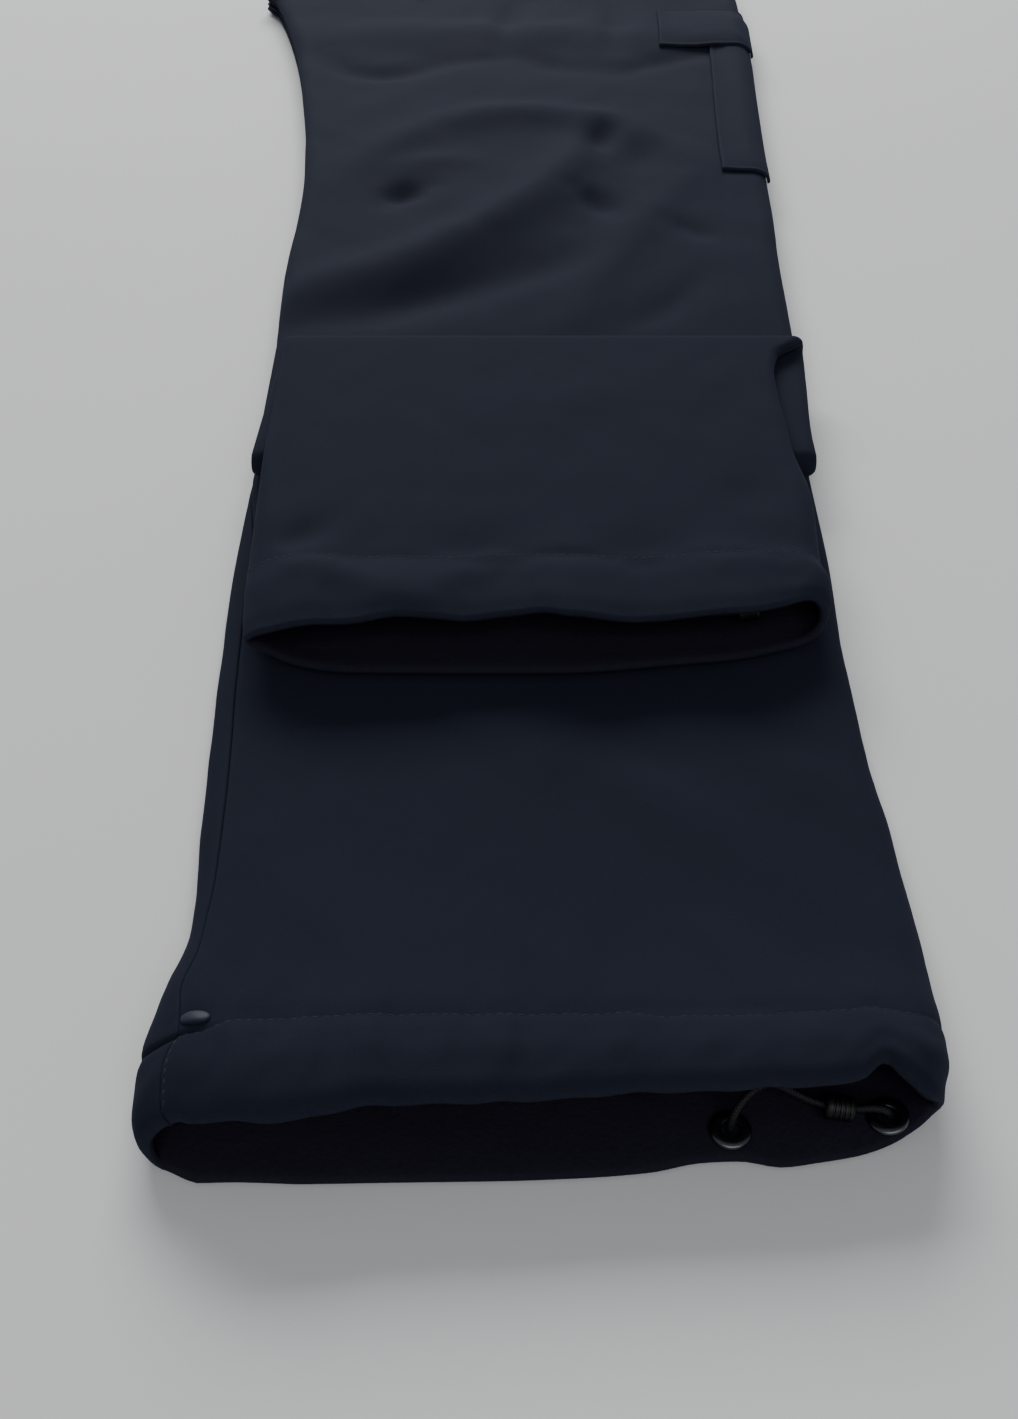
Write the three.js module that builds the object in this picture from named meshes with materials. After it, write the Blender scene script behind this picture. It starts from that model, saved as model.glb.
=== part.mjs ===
// Cargo trousers in softshell cloth, folded along the crotch seam so that one leg lies on the other,
// and laid flat with both hems at the front. The upper leg's end is folded back on itself in a Z.
//
// Places on the garment are plan millimetres: x across, with the crotch side negative, and "along"
// from the lower hem's front edge (0) to the waistband's top. Heights are above the table.
import * as THREE from "three";

const { clamp, lerp, smoothstep } = THREE.MathUtils;

// Driving dimensions, in millimetres.
const MIDDLE_X = -5.85; // the middle of the garment's width
const MIDDLE_ALONG = 554.6; // the middle of its length
const CLOTH = 1.3; // softshell wall
const PATCH_CLOTH = 1.5; // pocket cloth, lying on a panel
const SEAM_GAP = 0.3;
const HEM_DEPTH = 32; // hem edge to its stitch line
const HEM_RECOVERY = 60; // past the hem edge, where a skewed mouth runs straight again
const LOWER_LEG_END = 300; // where the upper leg hides the lower leg's front
const WAIST_SEAM = 1072; // the back's seam with the waistband, at the centre back
const WAIST_SLANT = 17; // how much lower that seam is at the side
const CROTCH_START = 864;
const CROTCH_END = 900;
const FRONT_INSET = 25; // the front's crotch fold lies this far inside the back's

// The flattened leg that lies on the table, and the outline of the thigh and seat.
const OUTLINE = [
  { along: 0, left: -87.4, right: 106.2 },
  { along: 3, left: -89.6, right: 106.4 },
  { along: 9, left: -91, right: 107.2 },
  { along: 19, left: -91.8, right: 109 },
  { along: 28, left: -92.6, right: 109.8 },
  { along: 43, left: -91.4, right: 110.8 },
  { along: 68, left: -87.2, right: 111.6 },
  { along: 104, left: -90.3, right: 112 },
  { along: 138, left: -93, right: 111.2 },
  { along: 190, left: -96.5, right: 112.4 },
  { along: 240, left: -99, right: 115.6 },
  { along: 300, left: -99.8, right: 117.4 },
  { along: 385, left: -101.2, right: 123.6 },
  { along: 451, left: -104.8, right: 127.2 },
  { along: 528, left: -105.6, right: 132.8 },
  { along: 592, left: -110, right: 136.4 },
  { along: 665, left: -119, right: 141.5 },
  { along: 731, left: -129, right: 146.4 },
  { along: 786, left: -140, right: 149.8 },
  { along: 846, left: -156, right: 152.6 },
  { along: 866, left: -165.5, right: 153 },
  { along: 890, left: -150, right: 152.4 },
  { along: 930, left: -128, right: 149 },
  { along: 980, left: -115, right: 143 },
  { along: 1040, left: -105, right: 130 },
  { along: 1072, left: -102, right: 123 },
];

// The lower leg's section: its top, the height of its side seams, and how far its edges round off.
const LOWER_SECTION = [
  { along: 0, top: 22.5, middle: 8, leftRound: 31, rightRound: 15, underLeft: 4, underRight: 22 },
  { along: 6, top: 24.2, middle: 8, leftRound: 34, rightRound: 15, underLeft: 4, underRight: 22 },
  { along: 15, top: 24.4, middle: 8.2, leftRound: 31, rightRound: 15, underLeft: 7, underRight: 20 },
  { along: 25, top: 22.7, middle: 8.4, leftRound: 27, rightRound: 14, underLeft: 7, underRight: 17 },
  { along: 32, top: 20.8, middle: 8, leftRound: 23, rightRound: 13, underLeft: 7.5, underRight: 15 },
  { along: 38, top: 19.7, middle: 7.6, leftRound: 19, rightRound: 12, underLeft: 8, underRight: 13 },
  { along: 55, top: 16.2, middle: 6.6, leftRound: 13, rightRound: 11, underLeft: 9, underRight: 11 },
  { along: 75, top: 13, middle: 5.4, leftRound: 11, rightRound: 10, underLeft: 9, underRight: 9 },
  { along: 100, top: 10.4, middle: 4.6, leftRound: 9, rightRound: 9, underLeft: 8, underRight: 8 },
  { along: 130, top: 8.5, middle: 4, leftRound: 8, rightRound: 8, underLeft: 7, underRight: 7 },
  { along: 170, top: 7.5, middle: 3.8, leftRound: 7, rightRound: 7, underLeft: 7, underRight: 7 },
  { along: 300, top: 7.4, middle: 3.8, leftRound: 7, rightRound: 7, underLeft: 7, underRight: 7 },
  { along: 960, top: 7.4, middle: 3.8, leftRound: 7, rightRound: 7, underLeft: 7, underRight: 7 },
  { along: 1072, top: 7.4, middle: 3, leftRound: 7, rightRound: 7, underLeft: 7, underRight: 7 },
];

// How far the inseam lies in from the left edge, on top of the lower leg.
const INSEAM = [
  { along: 0, inset: 6.4 },
  { along: 4, inset: 7.2 },
  { along: 9, inset: 7.8 },
  { along: 18, inset: 8.2 },
  { along: 29, inset: 10.6 },
  { along: 36, inset: 9.4 },
  { along: 43, inset: 7.4 },
  { along: 56, inset: 6.2 },
  { along: 68, inset: 4.8 },
  { along: 85, inset: 6 },
  { along: 104, inset: 7 },
  { along: 130, inset: 7.2 },
  { along: 170, inset: 6.6 },
  { along: 240, inset: 6.2 },
  { along: 292, inset: 0 },
];

// The mouth of the lower hem: how far back its edge stands, on the back panel and on the front.
const LOWER_MOUTH = [
  { across: -90, under: 3, over: 5 },
  { across: -86, under: 2.8, over: 6 },
  { across: -83, under: 2.4, over: 6.4 },
  { across: -79, under: 0.6, over: 6.2 },
  { across: -75, under: -0.9, over: 4.6 },
  { across: -66, under: -0.7, over: 3.6 },
  { across: -58, under: -0.9, over: 2.8 },
  { across: -50, under: -1.2, over: 3.4 },
  { across: -44, under: -1.1, over: 5 },
  { across: -28, under: -0.8, over: 7.4 },
  { across: -2, under: -0.4, over: 8.2 },
  { across: 18, under: 0.4, over: 9.6 },
  { across: 34, under: 1.8, over: 10.8 },
  { across: 47, under: 4.4, over: 11.2 },
  { across: 56, under: 4.8, over: 11.6 },
  { across: 66, under: 3.2, over: 12.2 },
  { across: 75, under: 4.4, over: 12.6 },
  { across: 84, under: 6, over: 14.6 },
  { across: 90, under: 7.6, over: 18.6 },
  { across: 95, under: 9.4, over: 15 },
  { across: 101, under: 12.6, over: 11.6 },
  { across: 108, under: 17, over: 14 },
];

const UPPER_MOUTH = [
  { across: -88, under: 0, over: -3.4 },
  { across: -67, under: -5.4, over: -5 },
  { across: -51, under: -7.6, over: -3 },
  { across: -36, under: -7.8, over: -1.2 },
  { across: -16, under: -8, over: 0 },
  { across: -2, under: -8, over: 2.6 },
  { across: 8, under: -8, over: 2.6 },
  { across: 20, under: -7.8, over: -1 },
  { across: 34, under: -6.6, over: -1.4 },
  { across: 48, under: -4.6, over: 0.4 },
  { across: 74, under: -1.2, over: 1.5 },
  { across: 106, under: 7, over: 13 },
];

// Soft gathers of the drawn hems: where each crest is, how wide and how high.
const LOWER_GATHERS = [
  { across: -78, width: 5, rise: 0.9 },
  { across: -63, width: 6, rise: 1.5 },
  { across: -49, width: 5, rise: 1.1 },
  { across: -34, width: 6, rise: 1.7 },
  { across: -17, width: 7, rise: 1.2 },
  { across: -2, width: 5, rise: 1.5 },
  { across: 14, width: 7, rise: 1 },
  { across: 30, width: 6, rise: 1.6 },
  { across: 46, width: 6, rise: 1.1 },
  { across: 61, width: 5, rise: 1.7 },
  { across: 75, width: 6, rise: 1 },
  { across: 90, width: 5, rise: 1.3 },
];

const UPPER_GATHERS = [
  { across: -66, width: 11, rise: 2 },
  { across: -38, width: 9, rise: 1.2 },
  { across: -8, width: 13, rise: -1.6 },
  { across: 20, width: 12, rise: 2.2 },
  { across: 47, width: 10, rise: -1.2 },
  { across: 72, width: 12, rise: 1.4 },
  { across: 93, width: 9, rise: -0.8 },
];

// Folds: a curve from one place to another with its middle bowed to the left of its run, the width
// of its flank, and its rise, negative for a trough.
const THIGH_FOLDS = [
  { fromX: -100, fromAlong: 424, toX: 46, toAlong: 622, bow: -32, width: 18, rise: 8.5 },
  { fromX: -96, fromAlong: 396, toX: 40, toAlong: 470, bow: -4, width: 15, rise: -4.8 },
  { fromX: -90, fromAlong: 548, toX: 104, toAlong: 566, bow: 80, width: 17, rise: 5 },
  { fromX: 22, fromAlong: 392, toX: 88, toAlong: 548, bow: 2, width: 13, rise: 3 },
  { fromX: 56, fromAlong: 396, toX: 90, toAlong: 446, bow: -2, width: 9, rise: -2.2 },
  { fromX: 80, fromAlong: 500, toX: 100, toAlong: 480, bow: 1, width: 8, rise: -2.8 },
  { fromX: -60, fromAlong: 524, toX: -44, toAlong: 544, bow: 2, width: 9.5, rise: -6.4 },
  { fromX: -62, fromAlong: 560, toX: -20, toAlong: 572, bow: 6, width: 10, rise: 2 },
  { fromX: 46, fromAlong: 580, toX: 58, toAlong: 616, bow: 2, width: 9, rise: -5 },
  { fromX: 36, fromAlong: 532, toX: 50, toAlong: 508, bow: 2, width: 9, rise: -4.4 },
  { fromX: 62, fromAlong: 556, toX: 84, toAlong: 606, bow: 0, width: 14, rise: -2.4 },
  { fromX: -112, fromAlong: 742, toX: -38, toAlong: 722, bow: -30, width: 11, rise: -3.6 },
  { fromX: -38, fromAlong: 722, toX: 8, toAlong: 730, bow: 2, width: 9, rise: -1.4 },
  { fromX: 8, fromAlong: 726, toX: 64, toAlong: 712, bow: -6, width: 12, rise: -1.8 },
  { fromX: 64, fromAlong: 702, toX: 132, toAlong: 738, bow: 6, width: 10, rise: -2.6 },
  { fromX: -118, fromAlong: 768, toX: 126, toAlong: 764, bow: 4, width: 26, rise: 5 },
  { fromX: -1, fromAlong: 742, toX: 6, toAlong: 842, bow: 3, width: 10, rise: -3.4 },
  { fromX: 64, fromAlong: 742, toX: 68, toAlong: 838, bow: -2, width: 10, rise: -2.8 },
  { fromX: -150, fromAlong: 880, toX: -28, toAlong: 915, bow: 10, width: 15, rise: 3.2 },
  { fromX: -118, fromAlong: 930, toX: 30, toAlong: 960, bow: 12, width: 16, rise: 2.6 },
  { fromX: 20, fromAlong: 880, toX: 128, toAlong: 930, bow: -8, width: 18, rise: 2.4 },
];

const FLAP_FOLDS = [
  { fromX: -94, fromAlong: 360, toX: -77, toAlong: 228, bow: -2, width: 5, rise: -1.3 },
  { fromX: -78, fromAlong: 216, toX: -64, toAlong: 234, bow: 0, width: 7, rise: -2.2 },
  { fromX: -84, fromAlong: 216, toX: -24, toAlong: 182, bow: 2, width: 8, rise: 2 },
  { fromX: -38, fromAlong: 188, toX: 2, toAlong: 216, bow: -2, width: 9, rise: 1.7 },
  { fromX: 56, fromAlong: 208, toX: 102, toAlong: 206, bow: 4, width: 9, rise: 1.5 },
  { fromX: 82, fromAlong: 238, toX: 92, toAlong: 262, bow: 0, width: 10, rise: -1.2 },
  { fromX: -20, fromAlong: 300, toX: 70, toAlong: 330, bow: 4, width: 16, rise: 0.8 },
];

const LOWER_LEG_FOLDS = [
  { fromX: -8, fromAlong: 154, toX: 94, toAlong: 70, bow: 4, width: 12, rise: 1.3 },
  { fromX: 40, fromAlong: 76, toX: 66, toAlong: 42, bow: 0, width: 9, rise: 0.9 },
  { fromX: -72, fromAlong: 96, toX: -20, toAlong: 58, bow: -4, width: 13, rise: 0.9 },
  { fromX: 60, fromAlong: 150, toX: 102, toAlong: 112, bow: 3, width: 11, rise: 1 },
];

// The upper leg's mid-line, from its hem back over the Z to the thigh.
const UPPER_HEM = 180; // along, at the hem
const FAR_FOLD = 366; // along, at the middle of the far fold
const NEAR_FOLD = 291; // along, at the middle of the near fold
const FOLD_RADIUS = 3.1;
const FLAP_MIDDLE = [
  { along: 180, height: 19.1 },
  { along: 215, height: 18.9 },
  { along: 250, height: 20.6 },
  { along: 285, height: 23 },
  { along: 320, height: 22.9 },
  { along: 366, height: 22.9 },
];
const THIGH_HEIGHT = 10.5;
const THIGH_MIDDLE = [
  { along: 291, height: THIGH_HEIGHT },
  { along: 930, height: THIGH_HEIGHT },
  { along: 1072, height: 8.4 },
];

// The upper leg's section by its distance from its hem along the mid-line. Past the last row the
// outline is the thigh's.
const UPPER_SECTION = [
  { route: 0, left: -86, right: 105, half: 9.4, leftRound: 28, rightRound: 12 },
  { route: 8, left: -87.2, right: 107, half: 10.4, leftRound: 26, rightRound: 12 },
  { route: 20, left: -88.4, right: 108, half: 10.2, leftRound: 21, rightRound: 11 },
  { route: 32, left: -89.2, right: 107, half: 8.7, leftRound: 16, rightRound: 10 },
  { route: 50, left: -90, right: 108, half: 8.2, leftRound: 12, rightRound: 9 },
  { route: 75, left: -91, right: 109.5, half: 6, leftRound: 9, rightRound: 7 },
  { route: 105, left: -92, right: 106.5, half: 3.2, leftRound: 5, rightRound: 5 },
  { route: 155, left: -93, right: 107, half: 2.7, leftRound: 4.5, rightRound: 4.5 },
  { route: 176, left: -93.4, right: 111.5, half: 2.7, leftRound: 4.5, rightRound: 4.5 },
  { route: 185, left: -94, right: 121, half: 2.7, leftRound: 4.5, rightRound: 4.5 },
  { route: 191, left: -94.6, right: 124, half: 2.7, leftRound: 4.5, rightRound: 4.5 },
  { route: 215, left: -96.5, right: 122, half: 2.7, leftRound: 4.5, rightRound: 4.5 },
  { route: 270, left: -98.4, right: 117.5, half: 2.7, leftRound: 4.5, rightRound: 4.5 },
  { route: 361, left: -100.6, right: 122, half: 2.7, leftRound: 4.5, rightRound: 4.5 },
  { route: 389, left: -101.2, right: 123.6, half: 3.8, leftRound: 6, rightRound: 6 },
  { route: 440, left: -101.2, right: 123.6, half: 5, leftRound: 8, rightRound: 8 },
  { route: 540, left: -101.2, right: 123.6, half: 5.4, leftRound: 9, rightRound: 9 },
  { route: 850, left: -101.2, right: 123.6, half: 5.2, leftRound: 9, rightRound: 9 },
  { route: 1000, left: -101.2, right: 123.6, half: 3.6, leftRound: 8, rightRound: 8 },
  { route: 1061, left: -101.2, right: 123.6, half: 2.1, leftRound: 7, rightRound: 7 },
];
const THIGH_OUTLINE_START = 385; // along

// The turned-up hem's thickness with its cord tunnel, by distance from the hem edge.
const HEM_WALL = [
  { along: 0, wall: 1.8 },
  { along: 2.5, wall: 2.8 },
  { along: 27, wall: 2.8 },
  { along: 32, wall: 2.2 },
  { along: 38, wall: CLOTH },
];

// The hidden layers' side faces: inset from the outline, and share of the height between the
// seams of the lowest and the uppermost panel.
const LAYERED_SIDE = [
  { inset: 2.1, share: 1.05 },
  { inset: 1.2, share: 0.92 },
  { inset: 0.6, share: 0.72 },
  { inset: 6, share: 0.53 },
  { inset: 0.6, share: 0.34 },
  { inset: 1.2, share: 0.12 },
  { inset: 3.2, share: -0.04 },
];

// Rows of the panels, by distance along.
const HEM_ROWS = [0, 2.5, 8, 15, 22, 28, 32, 36, 42];
const LOWER_ROWS = [...HEM_ROWS, 52, 64, 78, 94, 112, 132, 156, 184, 220, 256, 278, 292, LOWER_LEG_END];
const FLAP_ROWS = [...HEM_ROWS, 52, 64, 78, 92, 108, 132, 158, 176, 186];
const UPPER_THIGH_ROWS = [
  301, 335, 366, 384, 400, 415, 430, 445, 460, 476, 492, 508, 524, 540, 557, 574, 592, 610, 628, 646, 664,
  682, 698, 712, 725, 744, 760, 775, 790, 815, 830, 846, 857, 866, 875, 890, 912, 945, 985, 1025, 1050,
  WAIST_SEAM - SEAM_GAP,
];
const BACK_THIGH_ROWS = [
  335, 384, 430, 476, 524, 574, 628, 682, 725, 772, 808, 846, 857, 866, 875, 890, 912, 945, 985, 1025,
  WAIST_SEAM - SEAM_GAP,
];

// The waistband: one loop of doubled cloth, folded in four. Its front is inset at the crotch fold.
const BAND_DEPTH = 38;
const BAND_CLOTH = 2.4;
const BAND_PITCH = BAND_CLOTH + SEAM_GAP;
const BAND_LEFT = -102;
const BAND_RIGHT = 123;
const BAND_FRONT_DROP = 32; // how much lower the seam is at the centre front than at the back
const BAND_EDGE = [
  { share: 0, wall: 1 },
  { share: 0.5, wall: 1 },
  { share: 0.95, wall: 1 },
  { share: 1, wall: 0.5 },
];

// The pocket that wraps the outseam of the upper leg: how far each piece reaches in from the edge.
const POCKET_BAG = { from: 557, to: 790, reach: 24 };
const POCKET_FLAP = { from: 744, to: 815, reach: 55 };
const PATCH_GAP = 0.5; // between the pocket and the panel
const FLAP_DROP = 22; // past the bag's edge, over which the flap comes down on the panel

// The elastic cord that draws each hem in: it leaves the hem at one eyelet, hangs free with a lock
// threaded on it, and goes back in at the other. Routes are in plan millimetres.
const CORD_DIAMETER = 2.2;
const CORD_STEPS = 20;
const EYELET = { radius: 5.2, hole: 2.2, thick: 1, edge: 0.4, clear: 1 };
const CORD_LOCK = { radius: 3.3, bore: 1.5, length: 7.5, edge: 0.9, share: 0.72 };
const LOWER_FITTINGS = { eyelets: [54.2, 94], fromHem: 8, from: 3, to: 5 };
const LOWER_CORD = [
  { x: 54.2, along: 11.6, height: 3.4 },
  { x: 54.2, along: 11.8, height: 5.6 },
  { x: 54.6, along: 12.6, height: 8.2 },
  { x: 56, along: 14.2, height: 10.8 },
  { x: 58.8, along: 16.4, height: 13 },
  { x: 62.4, along: 18.2, height: 13.8 },
  { x: 66, along: 18.8, height: 12.4 },
  { x: 69.8, along: 18.2, height: 10.2 },
  { x: 74.4, along: 17, height: 8.4 },
  { x: 79.6, along: 16, height: 7.4 },
  { x: 84.8, along: 15.4, height: 7.4 },
  { x: 89.2, along: 15.1, height: 8.2 },
  { x: 92.1, along: 14.8, height: 7.7 },
  { x: 93.1, along: 14.7, height: 6.2 },
  { x: 93.2, along: 14.7, height: 4.9 },
];
const UPPER_FITTINGS = { eyelets: [54, 88], fromHem: 9, from: 1, to: 2 };
const UPPER_CORD = [
  { x: 54, along: 189.6, height: 25.2 },
  { x: 54, along: 189.9, height: 23.4 },
  { x: 54.2, along: 190.8, height: 21.5 },
  { x: 55.6, along: 192.3, height: 19.8 },
  { x: 58.8, along: 192.9, height: 18.7 },
  { x: 63, along: 193.2, height: 18.3 },
  { x: 68, along: 193.4, height: 18.2 },
  { x: 73.5, along: 193.6, height: 18.3 },
  { x: 79, along: 193.9, height: 18.8 },
  { x: 83.6, along: 194.2, height: 19.9 },
  { x: 86.6, along: 194.3, height: 21.6 },
  { x: 87.8, along: 194.2, height: 23.4 },
  { x: 88, along: 194.2, height: 25 },
];

// The smooth tape end on the inseam, at the hem's stitch line.
const SEAM_TAB = { from: -81.4, to: -73.8, fromHem: 31.4, width: 4.4, thick: 0.8, clear: 0.5 };

// Colours, roughness and metalness.
const CLOTH_LOOK = { color: 0x141a23, roughness: 0.86, metalness: 0 };
const INNER_LOOK = { color: 0x10151d, roughness: 0.9, metalness: 0 };
const BAND_LOOK = { color: 0x131820, roughness: 0.88, metalness: 0 };
const CORD_LOOK = { color: 0x0b0d11, roughness: 0.7, metalness: 0 };
const EYELET_LOOK = { color: 0x23262b, roughness: 0.3, metalness: 0.9 };
const LOCK_LOOK = { color: 0x101216, roughness: 0.35, metalness: 0 };
const TAB_LOOK = { color: 0x2a3348, roughness: 0.4, metalness: 0 };

const garment = new THREE.Group();

function add(name, geometry, look) {
  const mesh = new THREE.Mesh(geometry, new THREE.MeshStandardMaterial(look));
  mesh.name = name;
  garment.add(mesh);
  return mesh;
}

// One column of a table at a place between its rows, on a curve that never overshoots them. The
// first column holds the places.
function read(table, place, column) {
  const key = Object.keys(table[0])[0];
  const last = table.length - 1;
  if (place <= table[0][key]) return table[0][column];
  if (place >= table[last][key]) return table[last][column];
  const row = table.findIndex((entry) => entry[key] > place) - 1;
  const secant = (i) =>
    (table[i + 1][column] - table[i][column]) / (table[i + 1][key] - table[i][key]);
  const slope = (i) => {
    if (i === 0 || i === last) return 0;
    const before = secant(i - 1);
    const after = secant(i);
    if (before * after <= 0) return 0;
    return (2 * before * after) / (before + after);
  };
  const span = table[row + 1][key] - table[row][key];
  const t = (place - table[row][key]) / span;
  const fromStart = (1 + 2 * t) * (1 - t) ** 2 * table[row][column];
  const toEnd = t * t * (3 - 2 * t) * table[row + 1][column];
  const slopes = t * (1 - t) ** 2 * slope(row) - t * t * (1 - t) * slope(row + 1);
  return fromStart + toEnd + span * slopes;
}

// Points on each fold's curve, from its bow.
function foldCurve({ fromX, fromAlong, toX, toAlong, bow }) {
  const start = new THREE.Vector2(fromX, fromAlong);
  const end = new THREE.Vector2(toX, toAlong);
  const side = end.clone().sub(start).normalize().rotateAround(new THREE.Vector2(), Math.PI / 2);
  const control = start.clone().lerp(end, 0.5).addScaledVector(side, 2 * bow);
  return new THREE.QuadraticBezierCurve(start, control, end).getPoints(16);
}

const withCurves = (folds) => folds.map((fold) => ({ ...fold, curve: foldCurve(fold) }));
const thighFolds = withCurves(THIGH_FOLDS);
const flapFolds = withCurves(FLAP_FOLDS);
const lowerLegFolds = withCurves(LOWER_LEG_FOLDS);

// The nearest place on a curve: its distance, and its share of the way along.
function nearestOn(curve, x, along) {
  let nearest = { distance: Infinity, share: 0 };
  for (let i = 0; i < curve.length - 1; i += 1) {
    const runX = curve[i + 1].x - curve[i].x;
    const runAlong = curve[i + 1].y - curve[i].y;
    const dot = (x - curve[i].x) * runX + (along - curve[i].y) * runAlong;
    const part = clamp(dot / (runX * runX + runAlong * runAlong), 0, 1);
    const distance = Math.hypot(curve[i].x + part * runX - x, curve[i].y + part * runAlong - along);
    if (distance < nearest.distance) nearest = { distance, share: (i + part) / (curve.length - 1) };
  }
  return nearest;
}

// The height that a set of folds adds at one place. Each fold runs out towards its ends.
function foldHeight(folds, x, along) {
  return folds.reduce((height, { curve, width, rise }) => {
    const { distance, share } = nearestOn(curve, x, along);
    const runOut = 0.35 + 0.65 * Math.sin(Math.PI * share);
    return height + rise * runOut * Math.exp(-((distance / width) ** 2));
  }, 0);
}

function gatherHeight(gathers, x, fromHem) {
  const fade = 1 - smoothstep(fromHem, HEM_DEPTH * 0.8, HEM_DEPTH * 1.9);
  const dip = 1 - 0.5 * Math.exp(-(((fromHem - HEM_DEPTH) / 4) ** 2));
  const sum = gathers.reduce((height, { across, width, rise }) => {
    return height + rise * Math.exp(-(((x - across) / width) ** 2));
  }, 0);
  return sum * fade * dip;
}

// A flattened tube's outline, six steps around it from the left edge over the top: how far across,
// and its share of the height above (1) or below (-1) the side seams.
function tubeSection(around, { left, right, leftRound, rightRound, underLeft, underRight }) {
  const turn = THREE.MathUtils.euclideanModulo(around, 6);
  const step = Math.floor(turn);
  const part = turn - step;
  const rise = Math.sin((part * Math.PI) / 2);
  const run = Math.cos((part * Math.PI) / 2);
  if (step === 0) return { across: left + leftRound * (1 - run), share: rise };
  if (step === 1) return { across: lerp(left + leftRound, right - rightRound, part), share: 1 };
  if (step === 2) return { across: right - rightRound * (1 - rise), share: run };
  if (step === 3) return { across: right - underRight * (1 - run), share: -rise };
  if (step === 4) return { across: lerp(right - underRight, left + underLeft, part), share: -1 };
  return { across: left + underLeft * (1 - rise), share: -run };
}

function mouthShift(mouth, across, share, fromHem) {
  const fade = (1 - clamp(fromHem / HEM_RECOVERY, 0, 1)) ** 2;
  const under = read(mouth, across, "under");
  const over = read(mouth, across, "over");
  return lerp(under, over, smoothstep(share, -1, 1)) * fade;
}

// The waist seam runs lower towards the side.
function waistDrop(across, along, left, right) {
  const toSide = (across - left) / (right - left);
  return WAIST_SLANT * toSide * smoothstep(along, 960, WAIST_SEAM);
}

// Past the crotch the two backs meet at their centre seam, so their left edges close on each other:
// how far each edge moves to the height halfway between them.
function crotchClose(across, along, left) {
  const gap = read(THIGH_MIDDLE, along, "height") - read(LOWER_SECTION, along, "middle");
  return (gap / 2) * smoothstep(along, 868, 910) * (1 - smoothstep(across, left, left + 30));
}

// A point on the outside of the lower leg, thigh and seat.
function lowerPoint(around, along) {
  const outline = { left: read(OUTLINE, along, "left"), right: read(OUTLINE, along, "right") };
  const section = { ...outline };
  for (const name of ["leftRound", "rightRound", "underLeft", "underRight"])
    section[name] = read(LOWER_SECTION, along, name);
  const { across, share } = tubeSection(around, section);
  const middle = read(LOWER_SECTION, along, "middle") + crotchClose(across, along, outline.left);
  const top = read(LOWER_SECTION, along, "top");
  const wrinkles = gatherHeight(LOWER_GATHERS, across, along) + foldHeight(lowerLegFolds, across, along);
  const above = (top - middle) * share + wrinkles * Math.max(share, 0) ** 2;
  const height = share > 0 ? middle + above : middle * (1 + share);
  const shift = mouthShift(LOWER_MOUTH, across, share, along);
  const drop = waistDrop(across, along, outline.left, outline.right);
  return new THREE.Vector3(across, along + shift - drop, height);
}

const FLAP_LENGTH = FAR_FOLD - UPPER_HEM;
const TURN_LENGTH = Math.PI * FOLD_RADIUS;
const MIDDLE_LENGTH = FAR_FOLD - NEAR_FOLD;
const FAR_TURN_END = FLAP_LENGTH + TURN_LENGTH;
const NEAR_TURN = FAR_TURN_END + MIDDLE_LENGTH;
const THIGH_ROUTE = NEAR_TURN + TURN_LENGTH;
const NEAR_FOLD_MIDDLE = THIGH_HEIGHT + FOLD_RADIUS;
const FAR_FOLD_MIDDLE = NEAR_FOLD_MIDDLE + 2 * FOLD_RADIUS;

// The upper leg's mid-line at a distance from its hem: its place, and its direction outwards.
function routeAt(distance) {
  if (distance > FLAP_LENGTH && distance < FAR_TURN_END) {
    const angle = Math.PI / 2 - (distance - FLAP_LENGTH) / FOLD_RADIUS;
    return turnAt(FAR_FOLD, FAR_FOLD_MIDDLE, angle, 1);
  }
  if (distance >= FAR_TURN_END && distance <= NEAR_TURN) {
    const along = FAR_FOLD - (distance - FAR_TURN_END);
    return { along, height: FAR_FOLD_MIDDLE - FOLD_RADIUS, outAlong: 0, outHeight: -1 };
  }
  if (distance > NEAR_TURN && distance < THIGH_ROUTE) {
    const angle = Math.PI / 2 + (distance - NEAR_TURN) / FOLD_RADIUS;
    return turnAt(NEAR_FOLD, NEAR_FOLD_MIDDLE, angle, -1);
  }
  const flap = distance <= FLAP_LENGTH;
  const along = flap ? UPPER_HEM + distance : NEAR_FOLD + distance - THIGH_ROUTE;
  const table = flap ? FLAP_MIDDLE : THIGH_MIDDLE;
  const slope = (read(table, along + 1, "height") - read(table, along - 1, "height")) / 2;
  const length = Math.hypot(1, slope);
  return { along, height: read(table, along, "height"), outAlong: -slope / length, outHeight: 1 / length };
}

function turnAt(along, height, angle, side) {
  const run = Math.cos(angle);
  const rise = Math.sin(angle);
  return {
    along: along + FOLD_RADIUS * run,
    height: height + FOLD_RADIUS * rise,
    outAlong: side * run,
    outHeight: side * rise,
  };
}

const thighAlong = (route) => NEAR_FOLD + route - THIGH_ROUTE;
const routeOf = (along) => along - NEAR_FOLD + THIGH_ROUTE;

function upperFolds(across, route) {
  const along = thighAlong(route);
  if (along > THIGH_OUTLINE_START - 12) {
    const start = smoothstep(along, THIGH_OUTLINE_START - 12, THIGH_OUTLINE_START + 20);
    const end = 1 - smoothstep(along, 1000, WAIST_SEAM);
    return foldHeight(thighFolds, across, along) * start * end;
  }
  if (route > FLAP_LENGTH) return 0;
  const nearFold = 1 - smoothstep(route, FLAP_LENGTH - 30, FLAP_LENGTH);
  const folds = foldHeight(flapFolds, across, UPPER_HEM + route) * nearFold;
  return folds + gatherHeight(UPPER_GATHERS, across, route);
}

function upperEdge(side, route) {
  const along = thighAlong(route);
  return along > THIGH_OUTLINE_START ? read(OUTLINE, along, side) : read(UPPER_SECTION, route, side);
}

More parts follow.
